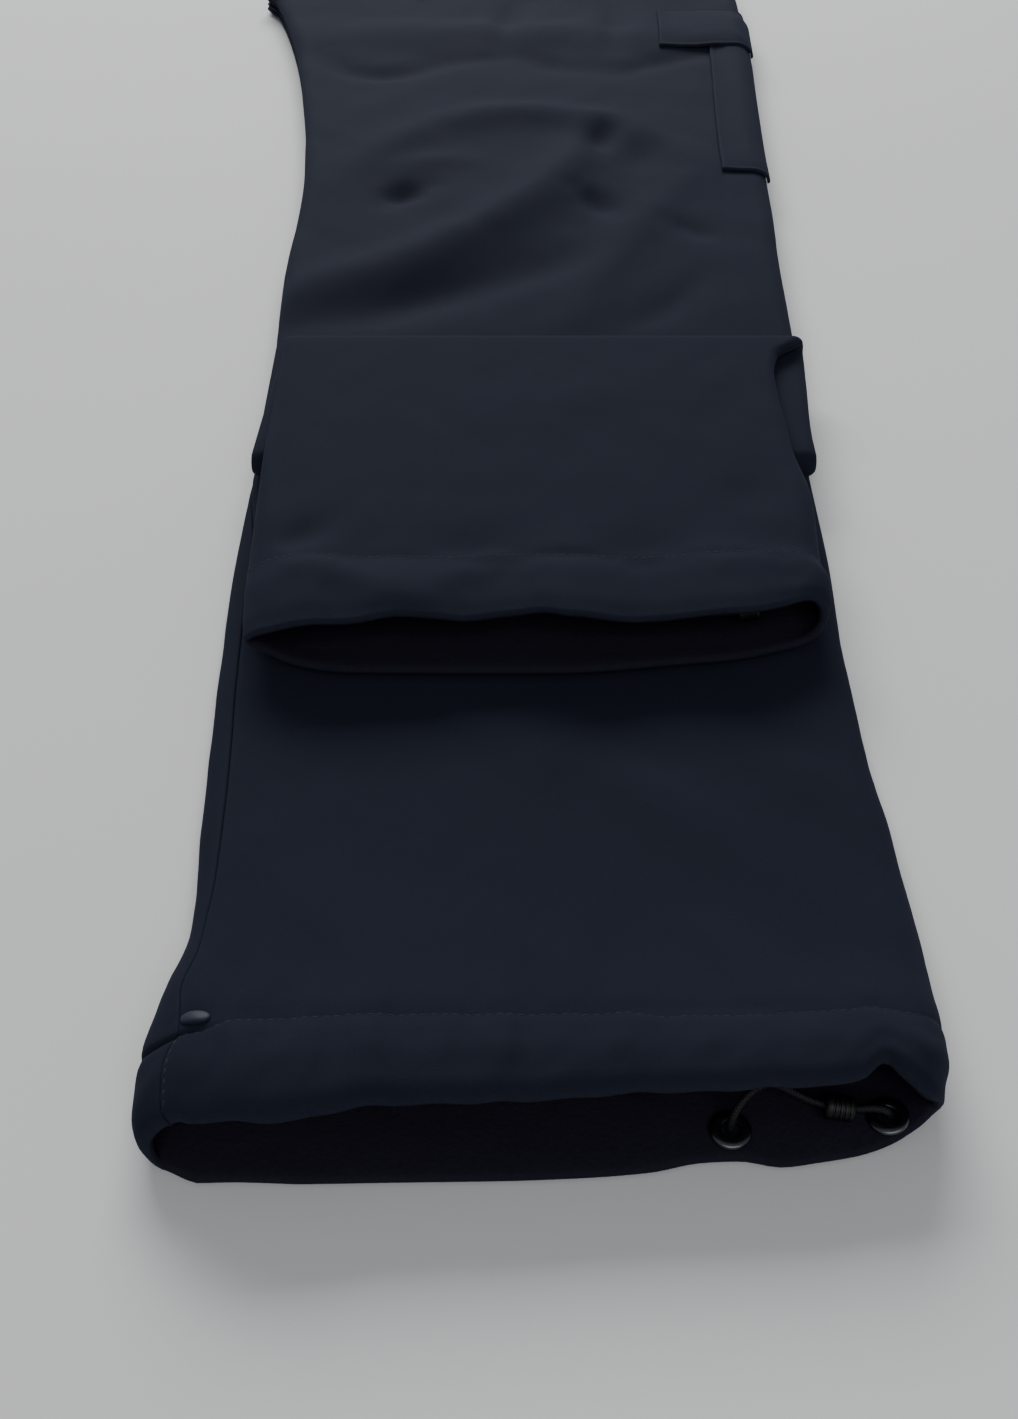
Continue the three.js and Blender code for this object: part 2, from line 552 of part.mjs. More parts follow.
// A point on the outside of the upper leg.
function upperPoint(around, route) {
  const along = thighAlong(route);
  const section = {
    left: upperEdge("left", route),
    right: upperEdge("right", route),
    leftRound: read(UPPER_SECTION, route, "leftRound"),
    rightRound: read(UPPER_SECTION, route, "rightRound"),
  };
  section.underLeft = section.leftRound;
  section.underRight = section.rightRound;
  const { across, share } = tubeSection(around, section);
  const wrinkles = upperFolds(across, route) * Math.max(share, 0) ** 2;
  const out = read(UPPER_SECTION, route, "half") * share + wrinkles;
  const place = routeAt(route + mouthShift(UPPER_MOUTH, across, share, route));
  const close = crotchClose(across, along, section.left) * (1 - share) ** 2;
  const drop = waistDrop(across, along, section.left, section.right);
  return new THREE.Vector3(
    across,
    place.along + place.outAlong * out - drop,
    place.height + place.outHeight * out - close,
  );
}

// The direction straight out of a surface.
function outwards(surface, around, along) {
  const step = 0.02;
  const across = surface(around + step, along).sub(surface(around - step, along));
  const forward = surface(around, along + 10 * step).sub(surface(around, along - 10 * step));
  return across.cross(forward).normalize();
}

const movedOut = (surface, around, along, distance) =>
  surface(around, along).addScaledVector(outwards(surface, around, along), distance);

// How far round a surface is a given distance, for the gap at a seam.
function seamStep(surface, around, along) {
  const step = 0.01;
  const length = surface(around + step, along).distanceTo(surface(around - step, along));
  return (SEAM_GAP / 2) * ((2 * step) / length);
}

// A closed body from a grid of outer points and the matching inner points.
function closedWall(outer, inner) {
  const rows = outer.length;
  const columns = outer[0].length;
  const positions = [...outer.flat(), ...inner.flat()].flatMap((point) => point.toArray());
  const out = (i, j) => i * columns + j;
  const back = (i, j) => rows * columns + i * columns + j;
  const index = [];
  const quad = (a, b, c, d) => index.push(a, b, c, a, c, d);
  for (let i = 0; i < rows - 1; i += 1) {
    for (let j = 0; j < columns - 1; j += 1) {
      quad(out(i, j), out(i, j + 1), out(i + 1, j + 1), out(i + 1, j));
      quad(back(i, j), back(i + 1, j), back(i + 1, j + 1), back(i, j + 1));
    }
    quad(out(i, 0), out(i + 1, 0), back(i + 1, 0), back(i, 0));
    const end = columns - 1;
    quad(out(i, end), back(i, end), back(i + 1, end), out(i + 1, end));
  }
  const last = rows - 1;
  for (let j = 0; j < columns - 1; j += 1) {
    quad(out(0, j), back(0, j), back(0, j + 1), out(0, j + 1));
    quad(out(last, j), out(last, j + 1), back(last, j + 1), back(last, j));
  }
  return bodyOf(positions, index);
}

function bodyOf(positions, index) {
  const geometry = new THREE.BufferGeometry();
  geometry.setAttribute("position", new THREE.Float32BufferAttribute(positions, 3));
  geometry.setIndex(index);
  geometry.computeVertexNormals();
  return geometry;
}

// A wall of cloth on a surface, by its rows, the columns of each row, and its thickness.
function clothWall(surface, rows, columnsAt, wallAt) {
  const grid = (inset) =>
    rows.map((row) => columnsAt(row).map((column) => movedOut(surface, column, row, inset(row))));
  return closedWall(
    grid(() => 0),
    grid((row) => -wallAt(row)),
  );
}

// Evenly spaced values, for each span of {from, to, steps} in turn.
function spread(spans) {
  const values = [spans[0].from];
  for (const { from, to, steps } of spans)
    for (let i = 1; i <= steps; i += 1) values.push(lerp(from, to, i / steps));
  return values;
}

// Where round the lower leg its inseam runs.
function inseamAround(along) {
  const inset = read(INSEAM, along, "inset");
  const round = read(LOWER_SECTION, along, "leftRound");
  return Math.acos(1 - inset / round) / (Math.PI / 2);
}

const hemWall = (along) => read(HEM_WALL, along, "wall");

// The lower leg's front panel, on top.
function frontColumns(along) {
  const inseam = inseamAround(along);
  const start = inseam + seamStep(lowerPoint, inseam, along);
  const end = 3 - seamStep(lowerPoint, 3, along);
  return spread([
    { from: start, to: 1, steps: 3 },
    { from: 1, to: 2, steps: 21 },
    { from: 2, to: end, steps: 3 },
  ]);
}
add("left_front", clothWall(lowerPoint, LOWER_ROWS, frontColumns, hemWall), CLOTH_LOOK);

// The back panel of that leg and of the seat, underneath: it wraps the left edge up to the inseam.
// Its columns are closer towards the right, where its mouth curves back.
function backColumns(along) {
  const inseam = inseamAround(along);
  const start = 3 + seamStep(lowerPoint, 3, along);
  const end = 6 + inseam - seamStep(lowerPoint, inseam, along);
  return spread([
    { from: start, to: 4, steps: 3 },
    { from: 4, to: 4.3, steps: 2 },
    { from: 4.3, to: 5, steps: 2 },
    { from: 5, to: 6, steps: 3 },
    { from: 6, to: end, steps: 2 },
  ]);
}
// Past the hidden inseam the panel ends at its left edge.
function seatColumns(along) {
  const start = 3 + seamStep(lowerPoint, 3, along);
  const end = 6 - seamStep(lowerPoint, 0, along);
  return spread([
    { from: start, to: 4, steps: 3 },
    { from: 4, to: 5, steps: 4 },
    { from: 5, to: end, steps: 5 },
  ]);
}
const backOrSeatColumns = (along) => (along < 290 ? backColumns(along) : seatColumns(along));
const BACK_ROWS = [...LOWER_ROWS, ...BACK_THIGH_ROWS];
add("left_back", clothWall(lowerPoint, BACK_ROWS, backOrSeatColumns, hemWall), CLOTH_LOOK);

// The upper leg: its back panel from the hem over the Z to the waist, and its front panel below.
const turnRows = (from, steps) =>
  Array.from({ length: steps }, (unused, i) => from + (TURN_LENGTH * (i + 1)) / steps);
const Z_ROWS = [
  ...FLAP_ROWS,
  ...turnRows(FLAP_LENGTH, 5),
  FAR_TURN_END + 18,
  FAR_TURN_END + 46,
  NEAR_TURN,
  ...turnRows(NEAR_TURN, 5),
];
const UPPER_BACK_ROWS = [...Z_ROWS, ...UPPER_THIGH_ROWS.map(routeOf)];
const UPPER_FRONT_ROWS = [...Z_ROWS, routeOf(LOWER_LEG_END)];

// Columns over the flat of the upper leg, with one at the inner edge of each piece of its pocket.
const UPPER_FLAT_STEPS = { clear: 11, flap: 2, bag: 1 };
const UPPER_FLAT_COLUMNS = UPPER_FLAT_STEPS.clear + UPPER_FLAT_STEPS.flap + UPPER_FLAT_STEPS.bag;
function upperFlatSpans(route) {
  const leftEnd = upperEdge("left", route) + read(UPPER_SECTION, route, "leftRound");
  const rightRound = read(UPPER_SECTION, route, "rightRound");
  const flat = upperEdge("right", route) - rightRound - leftEnd;
  const flapEdge = 2 - (POCKET_FLAP.reach - rightRound) / flat;
  const bagEdge = 2 - (POCKET_BAG.reach - rightRound) / flat;
  return [
    { from: 1, to: flapEdge, steps: UPPER_FLAT_STEPS.clear },
    { from: flapEdge, to: bagEdge, steps: UPPER_FLAT_STEPS.flap },
    { from: bagEdge, to: 2, steps: UPPER_FLAT_STEPS.bag },
  ];
}

function upperBackColumns(route) {
  const step = seamStep(upperPoint, 3, route);
  return spread([
    { from: step, to: 1, steps: 3 },
    ...upperFlatSpans(route),
    { from: 2, to: 3 - step, steps: 3 },
  ]);
}
add("right_back", clothWall(upperPoint, UPPER_BACK_ROWS, upperBackColumns, hemWall), CLOTH_LOOK);

function upperFrontColumns(route) {
  const step = seamStep(upperPoint, 3, route);
  return spread([
    { from: 3 + step, to: 4, steps: 3 },
    { from: 4, to: 5, steps: 3 },
    { from: 5, to: 6 - step, steps: 3 },
  ]);
}
add("right_front", clothWall(upperPoint, UPPER_FRONT_ROWS, upperFrontColumns, hemWall), CLOTH_LOOK);

// The triangles that close an end of the hidden layers' body, by point numbers in its ring: strips
// between the points above and those below, and a fan on each side of each side face's groove.
function endFaces(above, side, below) {
  const belowAt = (k) => above + side + below - 1 - k;
  const faces = [];
  for (let j = 0; j < above - 1; j += 1) {
    const k = Math.round((j / (above - 1)) * (below - 1));
    const next = Math.round(((j + 1) / (above - 1)) * (below - 1));
    faces.push([j, j + 1, belowAt(k)]);
    if (next !== k) faces.push([j + 1, belowAt(next), belowAt(k)]);
  }
  const groove = (side - 1) / 2;
  const rightAt = (j) => above + j;
  const leftAt = (j) => above + 2 * side + below - 1 - j;
  const fan = (sideAt, upper, lower) => [
    ...Array.from({ length: groove }, (unused, j) => [upper, sideAt(j), sideAt(j + 1)]),
    [upper, sideAt(groove), lower],
    ...Array.from({ length: groove }, (unused, j) => [lower, sideAt(groove + j), sideAt(groove + j + 1)]),
  ];
  faces.push(...fan(rightAt, above - 1, belowAt(below - 1)));
  faces.push(...fan(leftAt, 0, belowAt(0)).map((face) => face.reverse()));
  return faces;
}

// A closed body through rings of points, with its end faces.
function loftedBody(rings, faces) {
  const count = rings[0].length;
  const index = [];
  for (let i = 0; i < rings.length - 1; i += 1) {
    for (let j = 0; j < count; j += 1) {
      const next = (j + 1) % count;
      const [a, b] = [i * count + j, i * count + next];
      const [c, d] = [(i + 1) * count + next, (i + 1) * count + j];
      index.push(a, b, c, a, c, d);
    }
  }
  const points = rings.flat();
  for (const [a, b, c] of faces) {
    const last = points.length - count;
    index.push(a, c, b, last + a, last + b, last + c);
  }
  return bodyOf(
    points.flatMap((point) => point.toArray()),
    index,
  );
}

// The fronts of thigh and seat, hidden between the backs, as one rounded body. Its side faces show
// the edges of two legs.
const INNER_ROWS = UPPER_THIGH_ROWS.slice(0, -1);
const INNER_BOTTOM_POINTS = 4;
const INNER_REACH = 21; // how far the last ring is moved on, to the waistband's seam
const INNER_GAP = { leg: 0.45, seat: 1.6, below: 0.4 }; // to the panels above and below it
const crotchInset = (along) => FRONT_INSET * smoothstep(along, CROTCH_START, CROTCH_START + 34);

function innerRing(along) {
  const route = routeOf(along);
  const inset = crotchInset(along);
  const toWaist = smoothstep(along, 960, 1050);
  const toSeat = smoothstep(along, CROTCH_START, CROTCH_END);
  const clear = CLOTH + lerp(INNER_GAP.leg, INNER_GAP.seat, toSeat);
  const left = Math.max(upperEdge("left", route), read(OUTLINE, along, "left")) + inset;
  const right = Math.min(upperEdge("right", route), read(OUTLINE, along, "right")) - 4 * toWaist;
  const start = lerp(0.5, 1.14, inset / FRONT_INSET);
  const flatStart = Math.max(start + 0.02, 1);
  const flat = spread(upperFlatSpans(route)).map((around) => lerp(flatStart, 2, around - 1));
  const top = [start, ...flat, 2.5].map((around) => {
    const point = movedOut(upperPoint, around, route, -clear);
    point.y += waistDrop(point.x, along, upperEdge("left", route), upperEdge("right", route));
    return point;
  });
  const lowRim = read(LOWER_SECTION, along, "middle");
  const highRim = read(THIGH_MIDDLE, along, "height");
  const side = (edge, towards) =>
    LAYERED_SIDE.map((fold) => {
      const x = edge + towards * fold.inset;
      return new THREE.Vector3(x, along, lerp(lowRim, highRim, fold.share));
    });
  const under = CLOTH + INNER_GAP.below;
  const bottom = Array.from({ length: INNER_BOTTOM_POINTS }, (unused, i) => {
    const x = lerp(right - 9, left + 9, i / (INNER_BOTTOM_POINTS - 1));
    return new THREE.Vector3(x, along, under);
  });
  const ring = [...top, ...side(right, -1), ...bottom, ...side(left, 1).reverse()];
  for (const point of ring) {
    const toSide = clamp((point.x - left) / (right - left), 0, 1);
    point.y += (INNER_REACH - lerp(BAND_FRONT_DROP, WAIST_SLANT, toSide)) * toWaist;
  }
  return ring;
}
const innerEnd = endFaces(UPPER_FLAT_COLUMNS + 3, LAYERED_SIDE.length, INNER_BOTTOM_POINTS);
add("inner_layers", loftedBody(INNER_ROWS.map(innerRing), innerEnd), INNER_LOOK);

// The waistband's middle line, once round the loop: over the back, under it on the front, and the
// same on the other leg's side. Each turn is a half circle between two layers.
function bandPath() {
  const layer = (number) => BAND_CLOTH / 2 + BAND_PITCH * number;
  const points = [];
  const run = (from, to, number, front) => {
    const steps = 4;
    for (let i = 0; i <= steps; i += 1)
      points.push({ x: lerp(from, to, i / steps), z: layer(number), front });
  };
  const turn = (x, from, to, side, front) => {
    const middle = (layer(from) + layer(to)) / 2;
    const reach = (layer(from) - layer(to)) / 2;
    const steps = 3 + 2 * Math.abs(from - to);
    for (let i = 1; i < steps; i += 1) {
      const angle = (Math.PI * i) / steps;
      const out = side * Math.abs(reach) * Math.sin(angle);
      points.push({ x: x + out, z: middle + reach * Math.cos(angle), front });
    }
  };
  const right = BAND_RIGHT - (BAND_PITCH + BAND_CLOTH) / 2;
  const front = BAND_LEFT + FRONT_INSET + (BAND_PITCH + BAND_CLOTH) / 2;
  const back = BAND_LEFT + (3 * BAND_PITCH + BAND_CLOTH) / 2;
  run(back, right, 3, false);
  turn(right, 3, 2, 1, false);
  run(right, front, 2, true);
  turn(front, 2, 1, -1, true);
  run(front, right, 1, true);
  turn(right, 1, 0, 1, false);
  run(right, back, 0, false);
  turn(back, 0, 3, -1, false);
  return points;
}

// A closed body from a loop of cloth: the path's two sides, in rows from the seam to the top edge.
function bandBody() {
  const path = bandPath();
  const count = path.length;
  const sides = path.map((point, i) => {
    const before = path[(i + count - 1) % count];
    const after = path[(i + 1) % count];
    const length = Math.hypot(after.x - before.x, after.z - before.z);
    return { outX: (before.z - after.z) / length, outZ: (after.x - before.x) / length };
  });
  const seamAt = ({ x, front }) => {
    const toSide = clamp((x - BAND_LEFT) / (BAND_RIGHT - BAND_LEFT), 0, 1);
    return WAIST_SEAM - lerp(front ? BAND_FRONT_DROP : 0, WAIST_SLANT, toSide);
  };
  const positions = [];
  for (const side of [1, -1])
    for (const { share, wall } of BAND_EDGE)
      path.forEach((point, i) => {
        const out = (side * wall * BAND_CLOTH) / 2;
        const along = seamAt(point) + share * BAND_DEPTH;
        positions.push(point.x + out * sides[i].outX, along, point.z + out * sides[i].outZ);
      });
  const rows = BAND_EDGE.length;
  const at = (side, row, i) => (side * rows + row) * count + (i % count);
  const index = [];
  const quad = (a, b, c, d) => index.push(a, b, c, a, c, d);
  for (let i = 0; i < count; i += 1) {
    for (let row = 0; row < rows - 1; row += 1) {
      quad(at(0, row, i), at(0, row, i + 1), at(0, row + 1, i + 1), at(0, row + 1, i));
      quad(at(1, row + 1, i), at(1, row + 1, i + 1), at(1, row, i + 1), at(1, row, i));
    }
    quad(at(1, 0, i), at(1, 0, i + 1), at(0, 0, i + 1), at(0, 0, i));
    quad(at(0, rows - 1, i), at(0, rows - 1, i + 1), at(1, rows - 1, i + 1), at(1, rows - 1, i));
  }
  return bodyOf(positions, index);
}
add("waistband", bandBody(), BAND_LOOK);

// A patch of cloth lying on a panel, made from the panel's points moved out.
function patchWall(surface, rows, columnsAt, gapAt) {
  const grid = (thick) =>
    rows.map((row) =>
      columnsAt(row).map((column) => movedOut(surface, column, row, gapAt(row, column) + thick)),
    );
  return closedWall(grid(PATCH_CLOTH), grid(0));
}

// The cargo pocket on the upper leg's outseam: the part of its bag and flap that lies on the back.
// Each piece has the panel's own columns, from the given span of its flat on.
const pocketColumns = (firstSpan) => (route) =>
  spread([
    ...upperFlatSpans(route).slice(firstSpan),
    { from: 2, to: 3 - seamStep(upperPoint, 3, route), steps: 3 },
  ]);
const rowsBetween = ({ from, to }) =>
  UPPER_THIGH_ROWS.filter((along) => along >= from && along <= to).map(routeOf);
const pocketWall = (piece, firstSpan, gapAt) =>
  patchWall(upperPoint, rowsBetween(piece), pocketColumns(firstSpan), gapAt);
const flapGap = (route, around) => {
  if (around < upperFlatSpans(route)[2].from) return PATCH_GAP;
  const overBag = 1 - smoothstep(thighAlong(route), POCKET_BAG.to, POCKET_BAG.to + FLAP_DROP);
  return PATCH_GAP + (PATCH_CLOTH + SEAM_GAP) * overBag;
};
add("cargo_bag_right", pocketWall(POCKET_BAG, 2, () => PATCH_GAP), CLOTH_LOOK);
add("cargo_flap_right", pocketWall(POCKET_FLAP, 1, flapGap), CLOTH_LOOK);

// Where round a surface a place across is, between two turns of its section.
function aroundFor(surface, across, along, from, to) {
  let [low, high] = [from, to];
  const rising = surface(to, along).x > surface(from, along).x;
  for (let i = 0; i < 30; i += 1) {
    const middle = (low + high) / 2;
    if (surface(middle, along).x < across === rising) low = middle;
    else high = middle;
  }
  return (low + high) / 2;
}

// A turned ring about the y axis, from its profile.
const turned = (profile, sides) =>
  new THREE.LatheGeometry(
    [...profile, profile[0]].map(([radius, height]) => new THREE.Vector2(radius, height)),
    sides,
  );

const UP = new THREE.Vector3(0, 1, 0);

// The eyelets, cord and lock inside one hem.
function addHemFittings(leg, surface, { eyelets, fromHem, from, to }, route) {
  const { radius, hole, thick, edge, clear } = EYELET;
  eyelets.forEach((across, i) => {
    const around = aroundFor(surface, across, fromHem, from, to);
    const inwards = outwards(surface, around, fromHem).negate();
    const ring = turned([[hole, 0], [radius, 0], [radius - edge, thick], [hole + edge, thick]], 16);
    const eyelet = add(`eyelet_${leg}_${i + 1}`, ring, EYELET_LOOK);
    const wall = read(HEM_WALL, fromHem, "wall");
    eyelet.position.copy(surface(around, fromHem).addScaledVector(inwards, wall + clear));
    eyelet.quaternion.setFromUnitVectors(UP, inwards);
  });
  const points = route.map(({ x, along, height }) => new THREE.Vector3(x, along, height));
  const path = new THREE.CatmullRomCurve3(points);
  const section = new THREE.Shape(
    Array.from({ length: 8 }, (unused, i) => {
      const angle = (2 * Math.PI * i) / 8;
      return new THREE.Vector2(Math.cos(angle), Math.sin(angle)).multiplyScalar(CORD_DIAMETER / 2);
    }),
  );
  const cord = new THREE.ExtrudeGeometry(section, { steps: CORD_STEPS, extrudePath: path });
  add(`drawcord_${leg}`, cord, CORD_LOOK);
  const half = CORD_LOCK.length / 2;
  const barrel = [
    [CORD_LOCK.bore, -half],
    [CORD_LOCK.radius - CORD_LOCK.edge, -half],
    [CORD_LOCK.radius, CORD_LOCK.edge - half],
    [CORD_LOCK.radius, half - CORD_LOCK.edge],
    [CORD_LOCK.radius - CORD_LOCK.edge, half],
    [CORD_LOCK.bore, half],
  ];
  const lock = add(`cord_lock_${leg}`, turned(barrel, 12), LOCK_LOOK);
  lock.position.copy(path.getPointAt(CORD_LOCK.share));
  lock.quaternion.setFromUnitVectors(UP, path.getTangentAt(CORD_LOCK.share));
}
addHemFittings("left", lowerPoint, LOWER_FITTINGS, LOWER_CORD);
addHemFittings("right", upperPoint, UPPER_FITTINGS, UPPER_CORD);

// The seam tab: an oval patch on the lower leg's front.
function tabBody() {
  const { from, to, fromHem, width, thick, clear } = SEAM_TAB;
  const grid = (distance) =>
    [-1, 0, 1].map((side) =>
      [-1, -0.6, 0, 0.6, 1].map((end) => {
        const along = fromHem + side * (width / 2) * Math.sqrt(1 - 0.9 * end ** 2);
        const across = lerp(from, to, (end + 1) / 2);
        const around = aroundFor(lowerPoint, across, along, 0.2, 1.5);
        return movedOut(lowerPoint, around, along, distance);
      }),
    );
  return closedWall(grid(clear + thick), grid(clear));
}
add("seam_tab_left", tabBody(), TAB_LOOK);

// The group stands the garment on the table with the middle of its length and width at the origin.
garment.position.set(-MIDDLE_X, -MIDDLE_ALONG, 0);

export default garment;
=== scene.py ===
"""Cargo trousers in dark softshell, folded leg over leg and laid flat, the upper leg's end folded back.

Places on the garment are plan millimetres, as in the solids: x across with the crotch side negative,
"along" from the lower hem's front edge to the waistband, and height above the table. An upper leg's
"route" is its distance from its own hem, along its mid-line over both folds. row_frame() turns plan
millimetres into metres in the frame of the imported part.
"""

import math

import bpy
import numpy as np
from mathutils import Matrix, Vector


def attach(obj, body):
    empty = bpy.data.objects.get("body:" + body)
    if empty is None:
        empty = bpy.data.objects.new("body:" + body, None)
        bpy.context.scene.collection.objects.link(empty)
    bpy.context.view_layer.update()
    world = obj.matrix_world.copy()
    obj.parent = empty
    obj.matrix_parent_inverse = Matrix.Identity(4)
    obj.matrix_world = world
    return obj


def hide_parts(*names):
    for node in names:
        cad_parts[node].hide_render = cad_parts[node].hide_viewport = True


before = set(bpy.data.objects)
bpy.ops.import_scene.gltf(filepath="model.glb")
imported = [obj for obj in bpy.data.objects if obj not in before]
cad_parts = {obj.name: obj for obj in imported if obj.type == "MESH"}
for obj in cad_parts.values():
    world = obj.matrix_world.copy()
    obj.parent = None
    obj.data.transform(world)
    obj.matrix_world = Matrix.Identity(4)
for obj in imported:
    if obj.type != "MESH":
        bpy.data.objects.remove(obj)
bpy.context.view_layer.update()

MIDDLE_X = -5.85
MIDDLE_ALONG = 554.6


def row_frame(points):
    """Plan millimetres as metres in the row frame."""
    return (np.asarray(points, float) - (MIDDLE_X, MIDDLE_ALONG, 0)) / 1000


# ---------------------------------------------------------------- camera

CAMERA = {"across": 0, "along": -171.58, "height": 316.69, "down": 43.135, "lens": 36}


def make_camera():
    camera = bpy.data.cameras.new("camera")
    camera.sensor_fit = "VERTICAL"
    camera.sensor_height = camera.lens = CAMERA["lens"]
    camera.clip_start = 0.01
    view = bpy.data.objects.new("camera", camera)
    view.location = row_frame((CAMERA["across"], CAMERA["along"], CAMERA["height"]))
    view.rotation_euler = (math.radians(90 - CAMERA["down"]), 0, 0)
    bpy.context.scene.collection.objects.link(view)
    bpy.context.scene.camera = view


make_camera()


# ---------------------------------------------------------------- tables


def table(columns, *rows):
    """Rows of numbers with named columns."""
    return {
        name: np.array(values, float)
        for name, values in zip(columns.split(), zip(*rows))
    }


def read(rows, place, column):
    """A column at places between the rows, on a curve that never overshoots them."""
    places, values = next(iter(rows.values())), rows[column]
    secants = np.diff(values) / np.diff(places)
    before, after = secants[:-1], secants[1:]
    same = before * after > 0
    slopes = np.zeros(len(places))
    slopes[1:-1][same] = (
        2 * before[same] * after[same] / (before[same] + after[same])
    )
    place = np.clip(place, places[0], places[-1])
    i = np.clip(np.searchsorted(places, place, side="right") - 1, 0, len(places) - 2)
    span = places[i + 1] - places[i]
    t = (place - places[i]) / span
    ends = (1 + 2 * t) * (1 - t) ** 2 * values[i] + t * t * (3 - 2 * t) * values[i + 1]
    return ends + span * t * (1 - t) * ((1 - t) * slopes[i] - t * slopes[i + 1])


def mix(low, high, share):
    return low + (high - low) * share


def smooth(value, low, high):
    t = np.clip((value - low) / (high - low), 0, 1)
    return t * t * (3 - 2 * t)


def bell(distance, width):
    return np.exp(-((distance / width) ** 2))


# ---------------------------------------------------------------- sizes

CLOTH = 1.3
PATCH_CLOTH = 1.5
HEM_CLOTH = 2.8
HEM_DEPTH = 32
HEM_RECOVERY = 60
SEAM_GAP = 0.08
LOWER_LEG_END = 300
WAIST_SEAM = 1072
WAIST_SLANT = 17
CROTCH_START = 864
CROTCH_END = 900
FRONT_INSET = 25
UPPER_HEM = 180
FAR_FOLD = 366
NEAR_FOLD = 291
FOLD_RADIUS = 3.1
THIGH_HEIGHT = 10.5
THIGH_OUTLINE_START = 385

OUTLINE = table(
    "along left right",
    (0, -87.4, 106.2),
    (3, -89.6, 106.4),
    (9, -91, 107.2),
    (19, -91.8, 109),
    (28, -92.6, 109.8),
    (43, -91.4, 110.8),
    (68, -87.2, 111.6),
    (104, -90.3, 112),
    (138, -93, 111.2),
    (190, -96.5, 112.4),
    (240, -99, 115.6),
    (300, -99.8, 117.4),
    (385, -101.2, 123.6),
    (451, -104.8, 127.2),
    (528, -105.6, 132.8),
    (592, -110, 136.4),
    (665, -119, 141.5),
    (731, -129, 146.4),
    (786, -140, 149.8),
    (846, -156, 152.6),
    (866, -165.5, 153),
    (890, -150, 152.4),
    (930, -128, 149),
    (980, -115, 143),
    (1040, -105, 130),
    (1072, -102, 123),
)
LOWER_SECTION = table(
    "along top middle left_round right_round under_left under_right",
    (0, 22.5, 8, 31, 15, 4, 22),
    (6, 24.2, 8, 34, 15, 4, 22),
    (15, 24.4, 8.2, 31, 15, 7, 20),
    (25, 22.7, 8.4, 27, 14, 7, 17),
    (32, 20.8, 8, 23, 13, 7.5, 15),
    (38, 19.7, 7.6, 19, 12, 8, 13),
    (55, 16.2, 6.6, 13, 11, 9, 11),
    (75, 13, 5.4, 11, 10, 9, 9),
    (100, 10.4, 4.6, 9, 9, 8, 8),
    (130, 8.5, 4, 8, 8, 7, 7),
    (170, 7.5, 3.8, 7, 7, 7, 7),
    (300, 7.4, 3.8, 7, 7, 7, 7),
    (960, 7.4, 3.8, 7, 7, 7, 7),
    (1072, 7.4, 3, 7, 7, 7, 7),
)
INSEAM = table(
    "along inset",
    (0, 6.4),
    (4, 7.2),
    (9, 7.8),
    (18, 8.2),
    (29, 10.6),
    (36, 9.4),
    (43, 7.4),
    (56, 6.2),
    (68, 4.8),
    (85, 6),
    (104, 7),
    (130, 7.2),
    (170, 6.6),
    (240, 6.2),
    (292, 0),
)
LOWER_MOUTH = table(
    "across under over",
    (-90, 3, 5),
    (-86, 2.8, 6),
    (-83, 2.4, 6.4),
    (-79, 0.6, 6.2),
    (-75, -0.9, 4.6),
    (-66, -0.7, 3.6),
    (-58, -0.9, 2.8),
    (-50, -1.2, 3.4),
    (-44, -1.1, 5),
    (-28, -0.8, 7.4),
    (-2, -0.4, 8.2),
    (18, 0.4, 9.6),
    (34, 1.8, 10.8),
    (47, 4.4, 11.2),
    (56, 4.8, 11.6),
    (66, 3.2, 12.2),
    (75, 4.4, 12.6),
    (84, 6, 14.6),
    (90, 7.6, 18.6),
    (95, 9.4, 15),
    (101, 12.6, 11.6),
    (108, 17, 14),
)
UPPER_MOUTH = table(
    "across under over",
    (-88, 0, -3.4),
    (-67, -5.4, -5),
    (-51, -7.6, -3),
    (-36, -7.8, -1.2),
    (-16, -8, 0),
    (-2, -8, 2.6),
    (8, -8, 2.6),
    (20, -7.8, -1),
    (34, -6.6, -1.4),
    (48, -4.6, 0.4),
    (74, -1.2, 1.5),
    (106, 7, 13),
)
FLAP_MIDDLE = table(
    "along height",
    (180, 19.1),
    (215, 18.9),
    (250, 20.6),
    (285, 23),
    (320, 22.9),
    (366, 22.9),
)
THIGH_MIDDLE = table(
    "along height", (291, THIGH_HEIGHT), (930, THIGH_HEIGHT), (1072, 8.4)
)
UPPER_SECTION = table(
    "route left right half left_round right_round",
    (0, -86, 105, 9.4, 28, 12),
    (8, -87.2, 107, 10.4, 26, 12),
    (20, -88.4, 108, 10.2, 21, 11),
    (32, -89.2, 107, 8.7, 16, 10),
    (50, -90, 108, 8.2, 12, 9),
    (75, -91, 109.5, 6, 9, 7),
    (105, -92, 106.5, 3.2, 5, 5),
    (155, -93, 107, 2.7, 4.5, 4.5),
    (176, -93.4, 111.5, 2.7, 4.5, 4.5),
    (185, -94, 121, 2.7, 4.5, 4.5),
    (191, -94.6, 124, 2.7, 4.5, 4.5),
    (215, -96.5, 122, 2.7, 4.5, 4.5),
    (270, -98.4, 117.5, 2.7, 4.5, 4.5),
    (361, -100.6, 122, 2.7, 4.5, 4.5),
    (389, -101.2, 123.6, 3.8, 6, 6),
    (440, -101.2, 123.6, 5, 8, 8),
    (540, -101.2, 123.6, 5.4, 9, 9),
    (850, -101.2, 123.6, 5.2, 9, 9),
    (1000, -101.2, 123.6, 3.6, 8, 8),
    (1061, -101.2, 123.6, 2.1, 7, 7),
)
